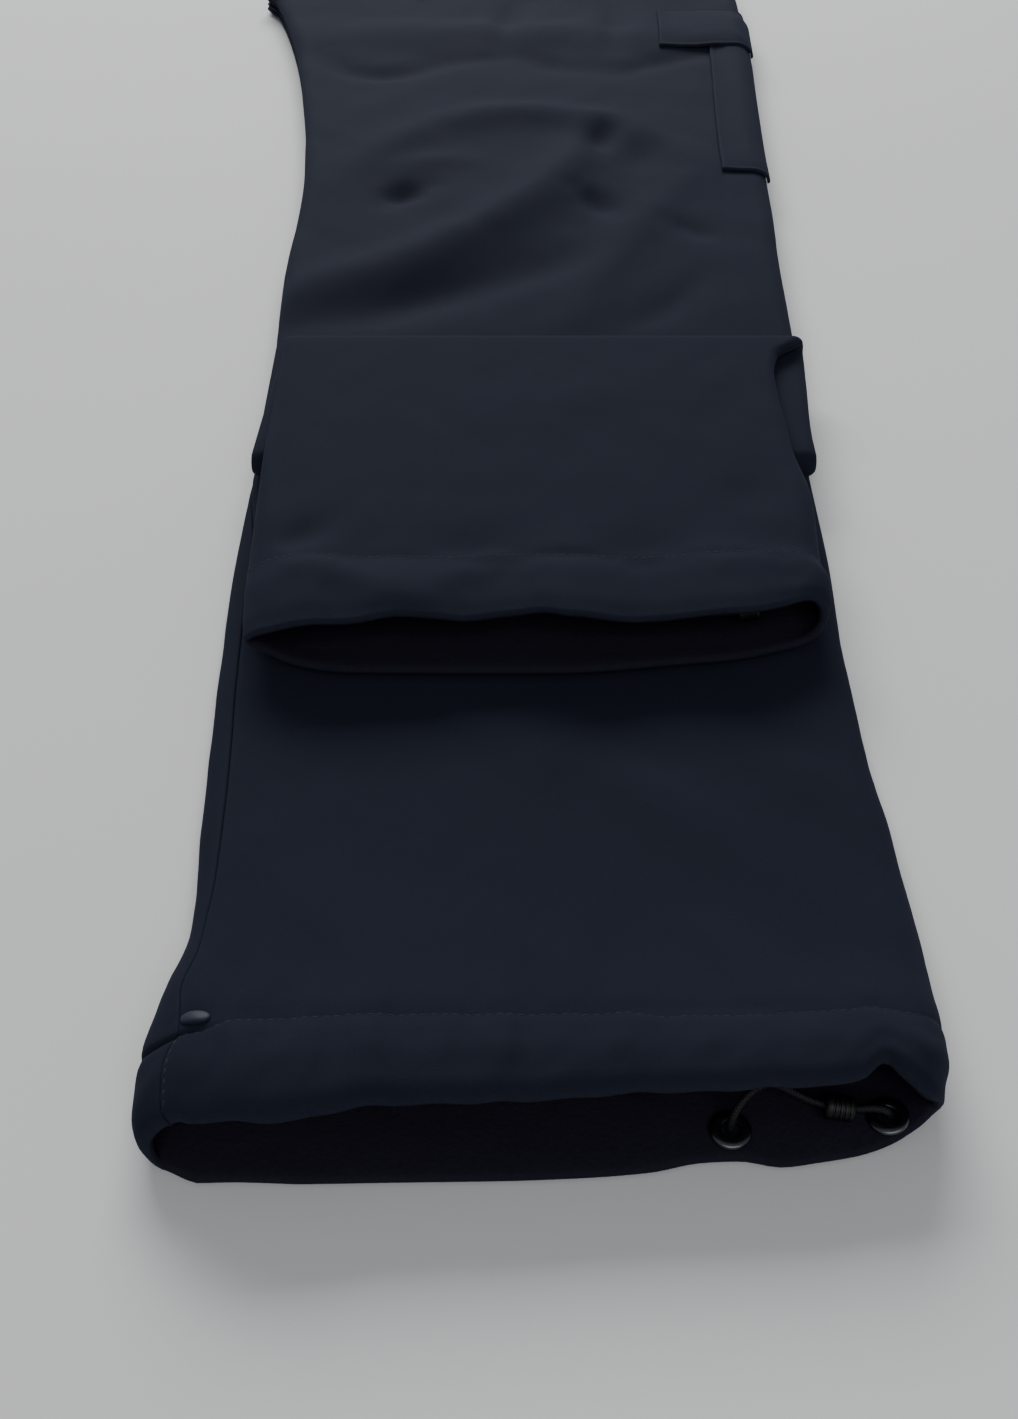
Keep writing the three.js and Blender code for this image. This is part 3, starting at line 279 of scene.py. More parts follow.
# The stitch line of each hem, by its distance from the hem's edge: on the lower leg it steps down
# to the inseam at the left.
LOWER_STITCH_LINE = table(
    "across from_hem",
    (-92, 25.4),
    (-84, 26),
    (-79, 27),
    (-75, 27.6),
    (-72, 29.2),
    (-68, 30.4),
    (-52, 31.5),
    (-38, 31.9),
    (-2, 31.2),
    (27, 31.4),
    (34, 30),
    (47, 29.2),
    (62, 29.4),
    (73, 31),
    (98, 31.3),
    (120, 32),
)

LOWER_GATHERS = table(
    "across width rise",
    (-78, 5, 0.9),
    (-63, 6, 1.5),
    (-49, 5, 1.1),
    (-34, 6, 1.7),
    (-17, 7, 1.2),
    (-2, 5, 1.5),
    (14, 7, 1),
    (30, 6, 1.6),
    (46, 6, 1.1),
    (61, 5, 1.7),
    (75, 6, 1),
    (90, 5, 1.3),
)
UPPER_GATHERS = table(
    "across width rise",
    (-66, 11, 2),
    (-38, 9, 1.2),
    (-8, 13, -1.6),
    (20, 12, 2.2),
    (47, 10, -1.2),
    (72, 12, 1.4),
    (93, 9, -0.8),
)

# Folds: from one place to another, bowed to the left of the run, with a flank width and a rise.
FOLD_COLUMNS = "from_x from_along to_x to_along bow width rise"
THIGH_FOLDS = table(
    FOLD_COLUMNS,
    (-100, 424, 46, 622, -32, 18, 8.5),
    (-96, 396, 40, 470, -4, 15, -4.8),
    (-90, 548, 104, 566, 80, 17, 5),
    (22, 392, 88, 548, 2, 13, 3),
    (56, 396, 90, 446, -2, 9, -2.2),
    (80, 500, 100, 480, 1, 8, -2.8),
    (-60, 524, -44, 544, 2, 9.5, -6.4),
    (-62, 560, -20, 572, 6, 10, 2),
    (46, 580, 58, 616, 2, 9, -5),
    (36, 532, 50, 508, 2, 9, -4.4),
    (62, 556, 84, 606, 0, 14, -2.4),
    (-112, 742, -38, 722, -30, 11, -3.6),
    (-38, 722, 8, 730, 2, 9, -1.4),
    (8, 726, 64, 712, -6, 12, -1.8),
    (64, 702, 132, 738, 6, 10, -2.6),
    (-118, 768, 126, 764, 4, 26, 5),
    (-1, 742, 6, 842, 3, 10, -3.4),
    (64, 742, 68, 838, -2, 10, -2.8),
    (-150, 880, -28, 915, 10, 15, 3.2),
    (-118, 930, 30, 960, 12, 16, 2.6),
    (20, 880, 128, 930, -8, 18, 2.4),
)
FLAP_FOLDS = table(
    FOLD_COLUMNS,
    (-94, 360, -77, 228, -2, 5, -1.3),
    (-78, 216, -64, 234, 0, 7, -2.2),
    (-84, 216, -24, 182, 2, 8, 2),
    (-38, 188, 2, 216, -2, 9, 1.7),
    (56, 208, 102, 206, 4, 9, 1.5),
    (82, 238, 92, 262, 0, 10, -1.2),
    (-20, 300, 70, 330, 4, 16, 0.8),
)
LOWER_LEG_FOLDS = table(
    FOLD_COLUMNS,
    (-8, 154, 94, 70, 4, 12, 1.3),
    (40, 76, 66, 42, 0, 9, 0.9),
    (-72, 96, -20, 58, -4, 13, 0.9),
    (60, 150, 102, 112, 3, 11, 1),
)


# ---------------------------------------------------------------- surfaces of the garment


def fold_curves(folds):
    """Each fold with points on its curve."""
    curves = []
    for x0, y0, x1, y1, bow, width, rise in zip(*folds.values()):
        start, end = np.array((x0, y0)), np.array((x1, y1))
        run = (end - start) / np.hypot(*(end - start))
        control = (start + end) / 2 + 2 * bow * np.array((-run[1], run[0]))
        t = np.linspace(0, 1, 17)[:, None]
        curve = (1 - t) ** 2 * start + 2 * t * (1 - t) * control + t * t * end
        curves.append((curve, width, rise))
    return curves


def fold_height(folds, x, along):
    """The height that folds add at each place. Each one runs out towards its ends."""
    height = np.zeros(x.shape)
    for curve, width, rise in folds:
        low, high = curve.min(0) - 3 * width, curve.max(0) + 3 * width
        near = (x > low[0]) & (x < high[0]) & (along > low[1]) & (along < high[1])
        if not near.any():
            continue
        place = np.stack((x[near], along[near]), -1)
        best = np.full(len(place), np.inf)
        share = np.zeros(len(place))
        for i in range(len(curve) - 1):
            run = curve[i + 1] - curve[i]
            part = np.clip((place - curve[i]) @ run / (run @ run), 0, 1)
            gap = place - curve[i] - part[:, None] * run
            distance = np.hypot(gap[:, 0], gap[:, 1])
            closer = distance < best
            best[closer] = distance[closer]
            share[closer] = ((i + part) / (len(curve) - 1))[closer]
        run_out = 0.35 + 0.65 * np.sin(np.pi * share)
        height[near] += rise * run_out * bell(best, width)
    return height


def gather_height(gathers, x, from_hem):
    fade = 1 - smooth(from_hem, HEM_DEPTH * 0.8, HEM_DEPTH * 1.9)
    dip = 1 - 0.5 * bell(from_hem - HEM_DEPTH, 4)
    crests = zip(*gathers.values())
    return sum(rise * bell(x - across, width) for across, width, rise in crests) * fade * dip


def tube_section(around, left, right, left_round, right_round, under_left, under_right):
    """A flattened tube's outline, six steps round it from the left edge over the top: how far
    across, and the share of the height above (1) or below (-1) the side seams."""
    turn = np.mod(around, 6)
    step = np.floor(turn).astype(int)
    part = turn - step
    rise, run = np.sin(part * np.pi / 2), np.cos(part * np.pi / 2)
    steps = [step == k for k in range(6)]
    across = np.select(
        steps,
        [
            left + left_round * (1 - run),
            mix(left + left_round, right - right_round, part),
            right - right_round * (1 - rise),
            right - under_right * (1 - run),
            mix(right - under_right, left + under_left, part),
            left + under_left * (1 - rise),
        ],
    )
    one = np.ones(part.shape)
    return across, np.select(steps, [rise, one, run, -rise, -one, -run])


def mouth_shift(mouth, across, share, from_hem):
    fade = (1 - np.clip(from_hem / HEM_RECOVERY, 0, 1)) ** 2
    under, over = read(mouth, across, "under"), read(mouth, across, "over")
    return mix(under, over, smooth(share, -1, 1)) * fade


def waist_drop(across, along, left, right):
    return WAIST_SLANT * (across - left) / (right - left) * smooth(along, 960, WAIST_SEAM)


def crotch_close(across, along, left):
    gap = read(THIGH_MIDDLE, along, "height") - read(LOWER_SECTION, along, "middle")
    return gap / 2 * smooth(along, 868, 910) * (1 - smooth(across, left, left + 30))


ROUNDS = ("left_round", "right_round", "under_left", "under_right")
lower_leg_folds = fold_curves(LOWER_LEG_FOLDS)
thigh_folds = fold_curves(THIGH_FOLDS)
flap_folds = fold_curves(FLAP_FOLDS)


def lower_section(around, along):
    left, right = read(OUTLINE, along, "left"), read(OUTLINE, along, "right")
    rounds = [read(LOWER_SECTION, along, name) for name in ROUNDS]
    return tube_section(around, left, right, *rounds), left, right


def lower_point(around, along):
    """A point on the outside of the lower leg, thigh and seat."""
    (across, share), left, right = lower_section(around, along)
    middle = read(LOWER_SECTION, along, "middle") + crotch_close(across, along, left)
    top = read(LOWER_SECTION, along, "top")
    wrinkles = gather_height(LOWER_GATHERS, across, along)
    wrinkles = wrinkles + fold_height(lower_leg_folds, across, along)
    above = (top - middle) * share + wrinkles * np.maximum(share, 0) ** 2
    height = middle + np.where(share > 0, above, middle * share)
    shift = mouth_shift(LOWER_MOUTH, across, share, along)
    drop = waist_drop(across, along, left, right)
    return np.stack((across, along + shift - drop, height), -1)


FLAP_LENGTH = FAR_FOLD - UPPER_HEM
TURN_LENGTH = math.pi * FOLD_RADIUS
FAR_TURN_END = FLAP_LENGTH + TURN_LENGTH
NEAR_TURN = FAR_TURN_END + FAR_FOLD - NEAR_FOLD
THIGH_ROUTE = NEAR_TURN + TURN_LENGTH
NEAR_FOLD_MIDDLE = THIGH_HEIGHT + FOLD_RADIUS
FAR_FOLD_MIDDLE = NEAR_FOLD_MIDDLE + 2 * FOLD_RADIUS


def thigh_along(route):
    return NEAR_FOLD + route - THIGH_ROUTE


def route_of(along):
    return along - NEAR_FOLD + THIGH_ROUTE


def straight_run(rows, along):
    """Height and outward direction on the flap's or the thigh's mid-line."""
    slope = (read(rows, along + 1, "height") - read(rows, along - 1, "height")) / 2
    length = np.hypot(1, slope)
    return read(rows, along, "height"), -slope / length, 1 / length


def route_at(route):
    """The upper leg's mid-line: its place along and its height, and its direction outwards."""
    flap_along, thigh = UPPER_HEM + route, thigh_along(route)
    flap_height, flap_out, flap_up = straight_run(FLAP_MIDDLE, flap_along)
    thigh_height, thigh_out, thigh_up = straight_run(THIGH_MIDDLE, thigh)
    far = np.pi / 2 - (route - FLAP_LENGTH) / FOLD_RADIUS
    near = np.pi / 2 + (route - NEAR_TURN) / FOLD_RADIUS
    parts = [
        route <= FLAP_LENGTH,
        route < FAR_TURN_END,
        route <= NEAR_TURN,
        route < THIGH_ROUTE,
        route >= THIGH_ROUTE,
    ]
    flat = np.zeros(route.shape)
    along = np.select(
        parts,
        [
            flap_along,
            FAR_FOLD + FOLD_RADIUS * np.cos(far),
            FAR_FOLD - (route - FAR_TURN_END),
            NEAR_FOLD + FOLD_RADIUS * np.cos(near),
            thigh,
        ],
    )
    height = np.select(
        parts,
        [
            flap_height,
            FAR_FOLD_MIDDLE + FOLD_RADIUS * np.sin(far),
            flat + FAR_FOLD_MIDDLE - FOLD_RADIUS,
            NEAR_FOLD_MIDDLE + FOLD_RADIUS * np.sin(near),
            thigh_height,
        ],
    )
    out_along = np.select(parts, [flap_out, np.cos(far), flat, -np.cos(near), thigh_out])
    out_up = np.select(parts, [flap_up, np.sin(far), flat - 1, -np.sin(near), thigh_up])
    return along, height, out_along, out_up


def upper_edge(side, route):
    along = thigh_along(route)
    return np.where(
        along > THIGH_OUTLINE_START, read(OUTLINE, along, side), read(UPPER_SECTION, route, side)
    )


def upper_section(around, route):
    left, right = upper_edge("left", route), upper_edge("right", route)
    rounds = [read(UPPER_SECTION, route, name) for name in ROUNDS[:2]]
    return tube_section(around, left, right, *rounds, *rounds), left, right


def upper_folds(across, route):
    along = thigh_along(route)
    start = smooth(along, THIGH_OUTLINE_START - 12, THIGH_OUTLINE_START + 20)
    thigh = fold_height(thigh_folds, across, along) * start * (1 - smooth(along, 1000, WAIST_SEAM))
    near_fold = 1 - smooth(route, FLAP_LENGTH - 30, FLAP_LENGTH)
    flap = fold_height(flap_folds, across, UPPER_HEM + route) * near_fold
    return np.where(
        route > FLAP_LENGTH, thigh, flap + gather_height(UPPER_GATHERS, across, route)
    )


def upper_point(around, route):
    """A point on the outside of the upper leg."""
    (across, share), left, right = upper_section(around, route)
    out = read(UPPER_SECTION, route, "half") * share
    out = out + upper_folds(across, route) * np.maximum(share, 0) ** 2
    shifted = route + mouth_shift(UPPER_MOUTH, across, share, route)
    along, height, out_along, out_up = route_at(shifted)
    place = thigh_along(route)
    close = crotch_close(across, place, left) * (1 - share) ** 2
    drop = waist_drop(across, place, left, right)
    return np.stack((across, along + out_along * out - drop, height + out_up * out - close), -1)


STEP = 0.02  # how far apart slopes of a surface are taken


def outwards(surface, around, along):
    across = surface(around + STEP, along) - surface(around - STEP, along)
    forward = surface(around, along + 10 * STEP) - surface(around, along - 10 * STEP)
    normal = np.cross(across, forward)
    return normal / np.linalg.norm(normal, axis=-1, keepdims=True)


def turn_per_mm(surface, around, along):
    run = surface(around + STEP / 2, along) - surface(around - STEP / 2, along)
    return STEP / np.linalg.norm(run, axis=-1)


# ---------------------------------------------------------------- relief of the cloth


def waves(x, y, size, phase):
    """Soft uneven undulation between about -1 and 1."""
    k = 2 * np.pi / size
    bent = y + 0.35 * size * np.sin(0.61 * k * x + phase)
    leant = x + 0.3 * size * np.sin(0.47 * k * y + 2 * phase)
    return (
        np.sin(k * (0.8 * leant + 0.6 * bent) + phase)
        + np.sin(k * (0.5 * leant - 1.1 * bent) * 0.83 + 1.7 * phase)
        + 0.6 * np.sin(k * (1.3 * leant + 0.2 * bent) * 1.31 + 2.3 * phase)
    ) / 2.6


def puckers(x, from_line, phase):
    """Small pulls across a stitch line, unevenly spaced."""
    total = np.zeros(x.shape)
    for i in range(42):
        crest = -108 + 5.6 * i + 1.7 * math.sin(2.1 * i + phase) + 1.1 * math.sin(5.3 * i)
        width = 1.5 + 0.6 * math.sin(3.1 * i + phase) ** 2
        rise = 0.55 + 0.45 * math.sin(3.7 * i + 2 * phase)
        lean = 0.22 * math.sin(1.9 * i + phase)
        total += rise * bell(x - crest - lean * from_line, width * (1 + np.abs(from_line) / 22))
    return total


def hem_puff(from_hem, line):
    """The cord tunnel's fullness between the hem's edge and its stitch line."""
    t = np.clip((from_hem - 1) / (line - 1), 0, 1)
    return np.sin(np.pi * t) ** 0.75


def hem_relief(x, from_hem, line, phase, sunk):
    from_line = from_hem - line
    groove = -sunk * (bell(from_line, 1) + 0.35 * bell(from_line, 3))
    leg_side = np.exp(-np.maximum(from_line, 0) / 9)
    tunnel_side = mix(0.45, 1, np.exp(np.minimum(from_line, 0) / 9))
    pulls = 0.42 * puckers(x, from_line, phase) * leg_side * tunnel_side
    near = 1 - smooth(from_hem, 44, 62)
    swell = hem_puff(from_hem, line) * (0.55 + 0.4 * waves(x, from_hem, 21, phase))
    return (groove + pulls) * near + swell


def lower_relief(around, along):
    (across, share), _, _ = lower_section(around, along)
    line = read(LOWER_STITCH_LINE, across, "from_hem")
    step = 1 - smooth(across, -80, -68)
    hem = hem_relief(across, along, line, 0.7, 0.22 + 0.9 * step)
    covered = 1 - smooth(along, 190, 215)
    cloth = (0.25 * waves(across, along, 43, 1.3) + 0.07 * waves(across, along, 14, 0.4)) * covered
    return (hem + cloth) * smooth(share, -0.75, 0.3)


OUTSEAM_INSET = 24  # below the pocket the outseam lies this far in from the thigh's right edge
UPPER_HEM_FULLNESS = 0.45


def upper_relief(around, route):
    (across, share), _, right = upper_section(around, route)
    hem = hem_relief(across, route, HEM_DEPTH, 2.9, 0.06) * UPPER_HEM_FULLNESS
    along = thigh_along(route)
    below_pocket = smooth(along, 388, 400) * (1 - smooth(along, 556, 562))
    outseam = -0.3 * bell(right - OUTSEAM_INSET - across, 1.3) * below_pocket
    flap = 1 - smooth(route, FLAP_LENGTH - 14, FLAP_LENGTH - 2)
    open_thigh = smooth(along, 372, 392) * (1 - smooth(along, 1040, 1066))
    calm = 0.2 * waves(across, route, 41, 2.2) + 0.05 * waves(across, route, 14, 0.9)
    full = 0.4 * waves(across, route, 58, 0.5) + 0.08 * waves(across, route, 19, 1.9)
    return (hem + outseam + calm * flap + full * open_thigh) * smooth(share, -0.2, 0.6)


# ---------------------------------------------------------------- meshes


SHARP_ANGLE = math.radians(48)


def make_object(name, points, faces, uv=None, wear=None):
    """A mesh object from plan points in millimetres."""
    mesh = bpy.data.meshes.new(name)
    mesh.from_pydata(row_frame(points).tolist(), [], [tuple(face) for face in faces])
    if uv is not None:
        corners = np.zeros(len(mesh.loops), int)
        mesh.loops.foreach_get("vertex_index", corners)
        layer = mesh.uv_layers.new(name="cloth")
        layer.data.foreach_set("uv", (np.asarray(uv)[corners] / 1000).ravel().astype(np.float32))
    if wear is not None:
        attribute = mesh.attributes.new("wear", "FLOAT", "POINT")
        attribute.data.foreach_set("value", np.asarray(wear, np.float32).ravel())
    mesh.shade_smooth()
    mesh.set_sharp_from_angle(angle=SHARP_ANGLE)
    piece = bpy.data.objects.new(name, mesh)
    bpy.context.scene.collection.objects.link(piece)
    return piece


def dress(piece, materials, nodes=()):
    """Gives a piece its materials and its slot, and lets it stand for CAD nodes."""
    for material in materials:
        piece.data.materials.append(material)
    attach(piece, "root")
    if nodes:
        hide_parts(*nodes)
    return piece


def quads(a, b, c, d):
    """Faces from four grids of point numbers."""
    return np.stack((a, b, c, d), -1).reshape(-1, 4)


def faces_between(rings):
    """Faces between rings of point numbers, each ring closed on itself."""
    over = np.roll(rings, -1, axis=1)
    return quads(rings[:-1], over[:-1], over[1:], rings[1:]).tolist()


def closed_wall(name, outer, inner, uv, wear):
    """A closed body between two grids of points. Its inner faces take the second material."""
    rows, columns = outer.shape[:2]
    at = np.arange(rows * columns).reshape(rows, columns)
    back = at + rows * columns
    front = quads(at[:-1, :-1], at[:-1, 1:], at[1:, 1:], at[1:, :-1])
    lining = quads(back[:-1, :-1], back[1:, :-1], back[1:, 1:], back[:-1, 1:])
    rims = [
        quads(at[:-1, 0], at[1:, 0], back[1:, 0], back[:-1, 0]),
        quads(at[:-1, -1], back[:-1, -1], back[1:, -1], at[1:, -1]),
        quads(at[0, :-1], back[0, :-1], back[0, 1:], at[0, 1:]),
        quads(at[-1, :-1], at[-1, 1:], back[-1, 1:], back[-1, :-1]),
    ]
    faces = np.concatenate([front, lining, *rims])
    points = np.concatenate((outer.reshape(-1, 3), inner.reshape(-1, 3)))
    piece = make_object(
        name,
        points,
        faces.tolist(),
        np.tile(uv.reshape(-1, 2), (2, 1)),
        np.tile(wear.ravel(), 2),
    )
    inside = np.zeros(len(faces), np.int32)
    inside[len(front) : len(front) + len(lining)] = 1
    piece.data.polygons.foreach_set("material_index", inside)
    return piece


def rolled(distance, radius):
    """How far a rounded edge of that radius drops, by the distance from the edge."""
    part = 1 - np.clip(distance / radius, 0, 1)
    return radius * (1 - np.sqrt(1 - part * part))


def row_lengths(points):
    """Distance along each row of a grid from its first column."""
    steps = np.linalg.norm(np.diff(points, axis=1), axis=-1)
    return np.concatenate((np.zeros((len(points), 1)), np.cumsum(steps, axis=1)), axis=1)


EDGE_STEPS = np.array([0, 0.12, 0.3, 0.55, 0.85, 1.3, 2, 3])
SEAM_ROLL = 0.95


def panel(name, surface, relief, rows, columns_at):
    """A panel of cloth with a rolled hem at its first row and edges turned in at its side seams."""
    around = columns_at(rows[:, None])
    along = np.broadcast_to(rows[:, None], around.shape)
    base = surface(around, along)
    normal = outwards(surface, around, along)
    length = row_lengths(base)
    edge = np.minimum(length, length[:, -1:] - length)
    wall = mix(HEM_CLOTH, CLOTH, smooth(along, HEM_DEPTH - 2, HEM_DEPTH + 6))
    turn = rolled(along, HEM_CLOTH / 2)
    puff_in = 0.5 * hem_puff(along, HEM_DEPTH) * (1 + 0.6 * waves(base[..., 0], along, 19, 4.4))
    outer = relief(around, along) - turn - rolled(edge, SEAM_ROLL)
    inner = -wall - puff_in + turn
    middle = base.shape[1] // 2
    u = length - length[:, middle : middle + 1] + base[:, middle : middle + 1, 0]
    wear = np.maximum(bell(along, 2.2), 0.7 * bell(edge, 1.2))
    return closed_wall(
        name,
        base + normal * outer[..., None],
        base + normal * inner[..., None],
        np.stack((u, along), -1),
        wear,
    )


SAMPLES = 300
TURN_SHARE = 2.2  # how much denser columns are where the section turns than on its flats


def columns(surface, row, start, end, count):
    """Columns of a row from one seam to the next, close together at both."""
    around = start + (end - start) * np.linspace(0, 1, SAMPLES) + 0 * row
    length = row_lengths(surface(around, row + 0 * around))
    step = np.floor(np.mod((around[:, 1:] + around[:, :-1]) / 2, 6))
    turning = np.where(np.isin(step, (1, 4)), 1, TURN_SHARE)
    spent = np.zeros(around.shape)
    spent[:, 1:] = np.cumsum(np.diff(length, axis=1) * turning, axis=1)
    found = []
    for turns, run, cost in zip(around, length, spent):
        first, last = SEAM_GAP / 2, run[-1] - SEAM_GAP / 2
        left, right = first + EDGE_STEPS, last - EDGE_STEPS[::-1]
        costs = np.linspace(np.interp(left[-1], run, cost), np.interp(right[0], run, cost), count)
        inner = np.interp(costs[1:-1], cost, run)
        found.append(np.interp(np.concatenate((left, inner, right)), run, turns))
    return np.array(found)


def inseam_around(along):
    share = 1 - read(INSEAM, along, "inset") / read(LOWER_SECTION, along, "left_round")
    return np.arccos(share) / (np.pi / 2)


def row_places(*spans):
    """Rows from spans of (end, spacing), starting at 0."""
    places = [0.0]
    for end, spacing in spans:
        steps = max(1, round((end - places[-1]) / spacing))
        places += list(np.linspace(places[-1], end, steps + 1)[1:])
    return np.array(places)


HEM_SPANS = [(0.4, 0.2), (1.4, 0.5), (4, 1.3), (24, 2), (36, 0.6), (48, 1.5), (64, 2.6)]


def left_front_columns(row):
    return columns(lower_point, row, inseam_around(row), 3, 140)


def left_back_columns(row):
    return columns(lower_point, row, 3, 6 + inseam_around(row), 96)


def right_back_columns(route):
    return columns(upper_point, route, 0, 3, 132)


def right_front_columns(route):
    return columns(upper_point, route, 3, 6, 70)


def turn_rows(start, steps=10):
    return start + TURN_LENGTH * np.arange(1, steps + 1) / steps


Z_ROWS = np.concatenate(
    (
        row_places(*HEM_SPANS, (FLAP_LENGTH, 3.6)),
        turn_rows(FLAP_LENGTH),
        np.linspace(FAR_TURN_END, NEAR_TURN, 9)[1:],
        turn_rows(NEAR_TURN),
    )
)
LOWER_ROWS = row_places(*HEM_SPANS, (210, 3.4), (LOWER_LEG_END, 9))
SEAT_ROWS = np.append(np.arange(310, WAIST_SEAM - 5, 7.0), WAIST_SEAM - SEAM_GAP)
THIGH_ROWS = np.append(np.arange(301, WAIST_SEAM - 3, 4.2), WAIST_SEAM - SEAM_GAP)


# ---------------------------------------------------------------- materials


class Material:
    """A node material around one Principled shader."""

    def __init__(self, name, **sockets):
        self.material = bpy.data.materials.new(name)
        self.material.use_nodes = True
        self.tree = self.material.node_tree
        self.shader = self.tree.nodes["Principled BSDF"]
        for socket, value in sockets.items():
            self.shader.inputs[socket.replace("_", " ")].default_value = value

    def add(self, kind, inputs, **settings):
        node = self.tree.nodes.new("ShaderNode" + kind)
        for key, value in settings.items():
            setattr(node, key, value)
        for key, value in inputs.items():
            if isinstance(value, bpy.types.NodeSocket):
                self.tree.links.new(value, node.inputs[key])
            else:
                node.inputs[key].default_value = value
        return node

    def math(self, operation, *values):
        return self.add("Math", dict(enumerate(values)), operation=operation).outputs[0]

    def noise(self, vector, scale, detail=2.0):
        return self.add("TexNoise", {"Vector": vector, "Scale": scale, "Detail": detail}).outputs[0]

    def blend(self, share, low, high):
        node = self.add("MixRGB", {0: share, 1: (*low, 1), 2: (*high, 1)})
        return node.outputs[0]

    def into(self, socket, output):
        self.tree.links.new(output, self.shader.inputs[socket])

    def bump(self, *layers):
        """Bumps over each other, from (height, strength, distance in metres)."""
        normal = None
        for height, strength, distance in layers:
            inputs = {"Height": height, "Strength": strength, "Distance": distance}
            if normal is not None:
                inputs["Normal"] = normal
            normal = self.add("Bump", inputs).outputs[0]
        self.into("Normal", normal)

    def sine(self, value, pitch):
        """A wave of that pitch in metres, from -1 to 1."""
        return self.math("SINE", self.math("MULTIPLY", value, 2 * math.pi / pitch))


YARN_PITCH = 0.00046  # in metres, as all sizes in materials


def softshell(name, dark, light):
    """Woven face with a soft cloudiness, specks, and paler worn edges."""
    m = Material(
        name,
        Sheen_Weight=0.021,
        Sheen_Roughness=0.5,
        Sheen_Tint=(0.42, 0.55, 1, 1),
        Specular_IOR_Level=0.02,
        Specular_Tint=(0.5, 0.62, 1, 1),
    )
    place = m.add("TexCoord", {})
    cloth = m.add("SeparateXYZ", {0: place.outputs["UV"]})
    warp, weft = m.sine(cloth.outputs[0], YARN_PITCH), m.sine(cloth.outputs[1], YARN_PITCH)
    weave = m.math("MULTIPLY_ADD", m.math("MULTIPLY", warp, weft), 0.5, 0.5)
    cloud = m.noise(place.outputs["Object"], 14, 3)
    slub = m.noise(
        m.add("Mapping", {0: place.outputs["UV"], "Scale": (1, 7, 1)}).outputs[0], 420
    )
    speck = m.noise(place.outputs["Object"], 2600, 1)
    tone = m.math("MULTIPLY_ADD", cloud, 0.5, 0.02)
    tone = m.math("MULTIPLY_ADD", slub, 0.28, tone)
    tone = m.math("MULTIPLY_ADD", speck, 0.2, tone)
    tone = m.math("MULTIPLY_ADD", weave, 0.16, tone)
    wear = m.add("Attribute", {}, attribute_name="wear").outputs["Fac"]
    worn = m.math("MULTIPLY", wear, m.math("MULTIPLY_ADD", slub, 0.9, -0.1))
    tone = m.math("MULTIPLY_ADD", worn, 0.55, tone)
    m.into("Base Color", m.blend(tone, dark, light))
    m.into("Roughness", m.math("MULTIPLY_ADD", cloud, 0.16, 0.68))
    m.bump((cloud, 0.12, 0.004), (slub, 0.18, 0.0003), (weave, 0.35, 0.00012))
    return m.material


def fleece(name, dark, light):
    m = Material(name, Roughness=0.97, Specular_IOR_Level=0.04)
    place = m.add("TexCoord", {}).outputs["Object"]
    nap = m.noise(place, 900, 4)
    tuft = m.noise(place, 160, 3)
    m.into("Base Color", m.blend(m.math("MULTIPLY_ADD", nap, 0.6, 0.1), dark, light))
    m.bump((tuft, 0.3, 0.0012), (nap, 0.5, 0.0005))
    return m.material


def thread(name, dark, light):
    m = Material(name, Roughness=0.62, Sheen_Weight=0.03, Specular_IOR_Level=0.15)
    place = m.add("TexCoord", {})
    twist = m.add("SeparateXYZ", {0: place.outputs["UV"]})
    slant = m.math("ADD", twist.outputs[0], twist.outputs[1])
    ply = m.math("MULTIPLY_ADD", m.sine(slant, 0.0004), 0.5, 0.5)
    m.into("Base Color", m.blend(ply, dark, light))
    m.bump((ply, 0.5, 0.0001))
    return m.material


def braid(name, dark, light):
    """Braided cord: u runs round it and v along it, in metres."""
    m = Material(name, Roughness=0.42, Sheen_Weight=0.0, Specular_IOR_Level=0.24)
    place = m.add("SeparateXYZ", {0: m.add("TexCoord", {}).outputs["UV"]})
    left = m.sine(m.math("ADD", place.outputs[0], place.outputs[1]), 0.00086)
    right = m.sine(m.math("SUBTRACT", place.outputs[0], place.outputs[1]), 0.00086)
    strands = m.math("MULTIPLY_ADD", m.math("MAXIMUM", left, right), 0.5, 0.5)
    m.into("Base Color", m.blend(strands, dark, light))
    m.bump((strands, 0.7, 0.0002))
    return m.material


def lacquered(name, dark, light, rough=0.2, **sockets):
    """Metal or moulded plastic with fine wear."""
    m = Material(name, **sockets)
    place = m.add("TexCoord", {}).outputs["Object"]
    cloud, scratch = m.noise(place, 260, 3), m.noise(place, 2400, 2)
    m.into("Base Color", m.blend(cloud, dark, light))
    m.into("Roughness", m.math("MULTIPLY_ADD", scratch, 0.22, rough))
    m.bump((scratch, 0.08, 0.0002))
    return m.material


def floor_material():
    m = Material("floor", Roughness=0.8)
    place = m.add("TexCoord", {}).outputs["Object"]
    cloud = m.noise(place, 3, 3)
    m.into("Base Color", m.blend(cloud, (0.60, 0.60, 0.60), (0.63, 0.63, 0.63)))
    return m.material


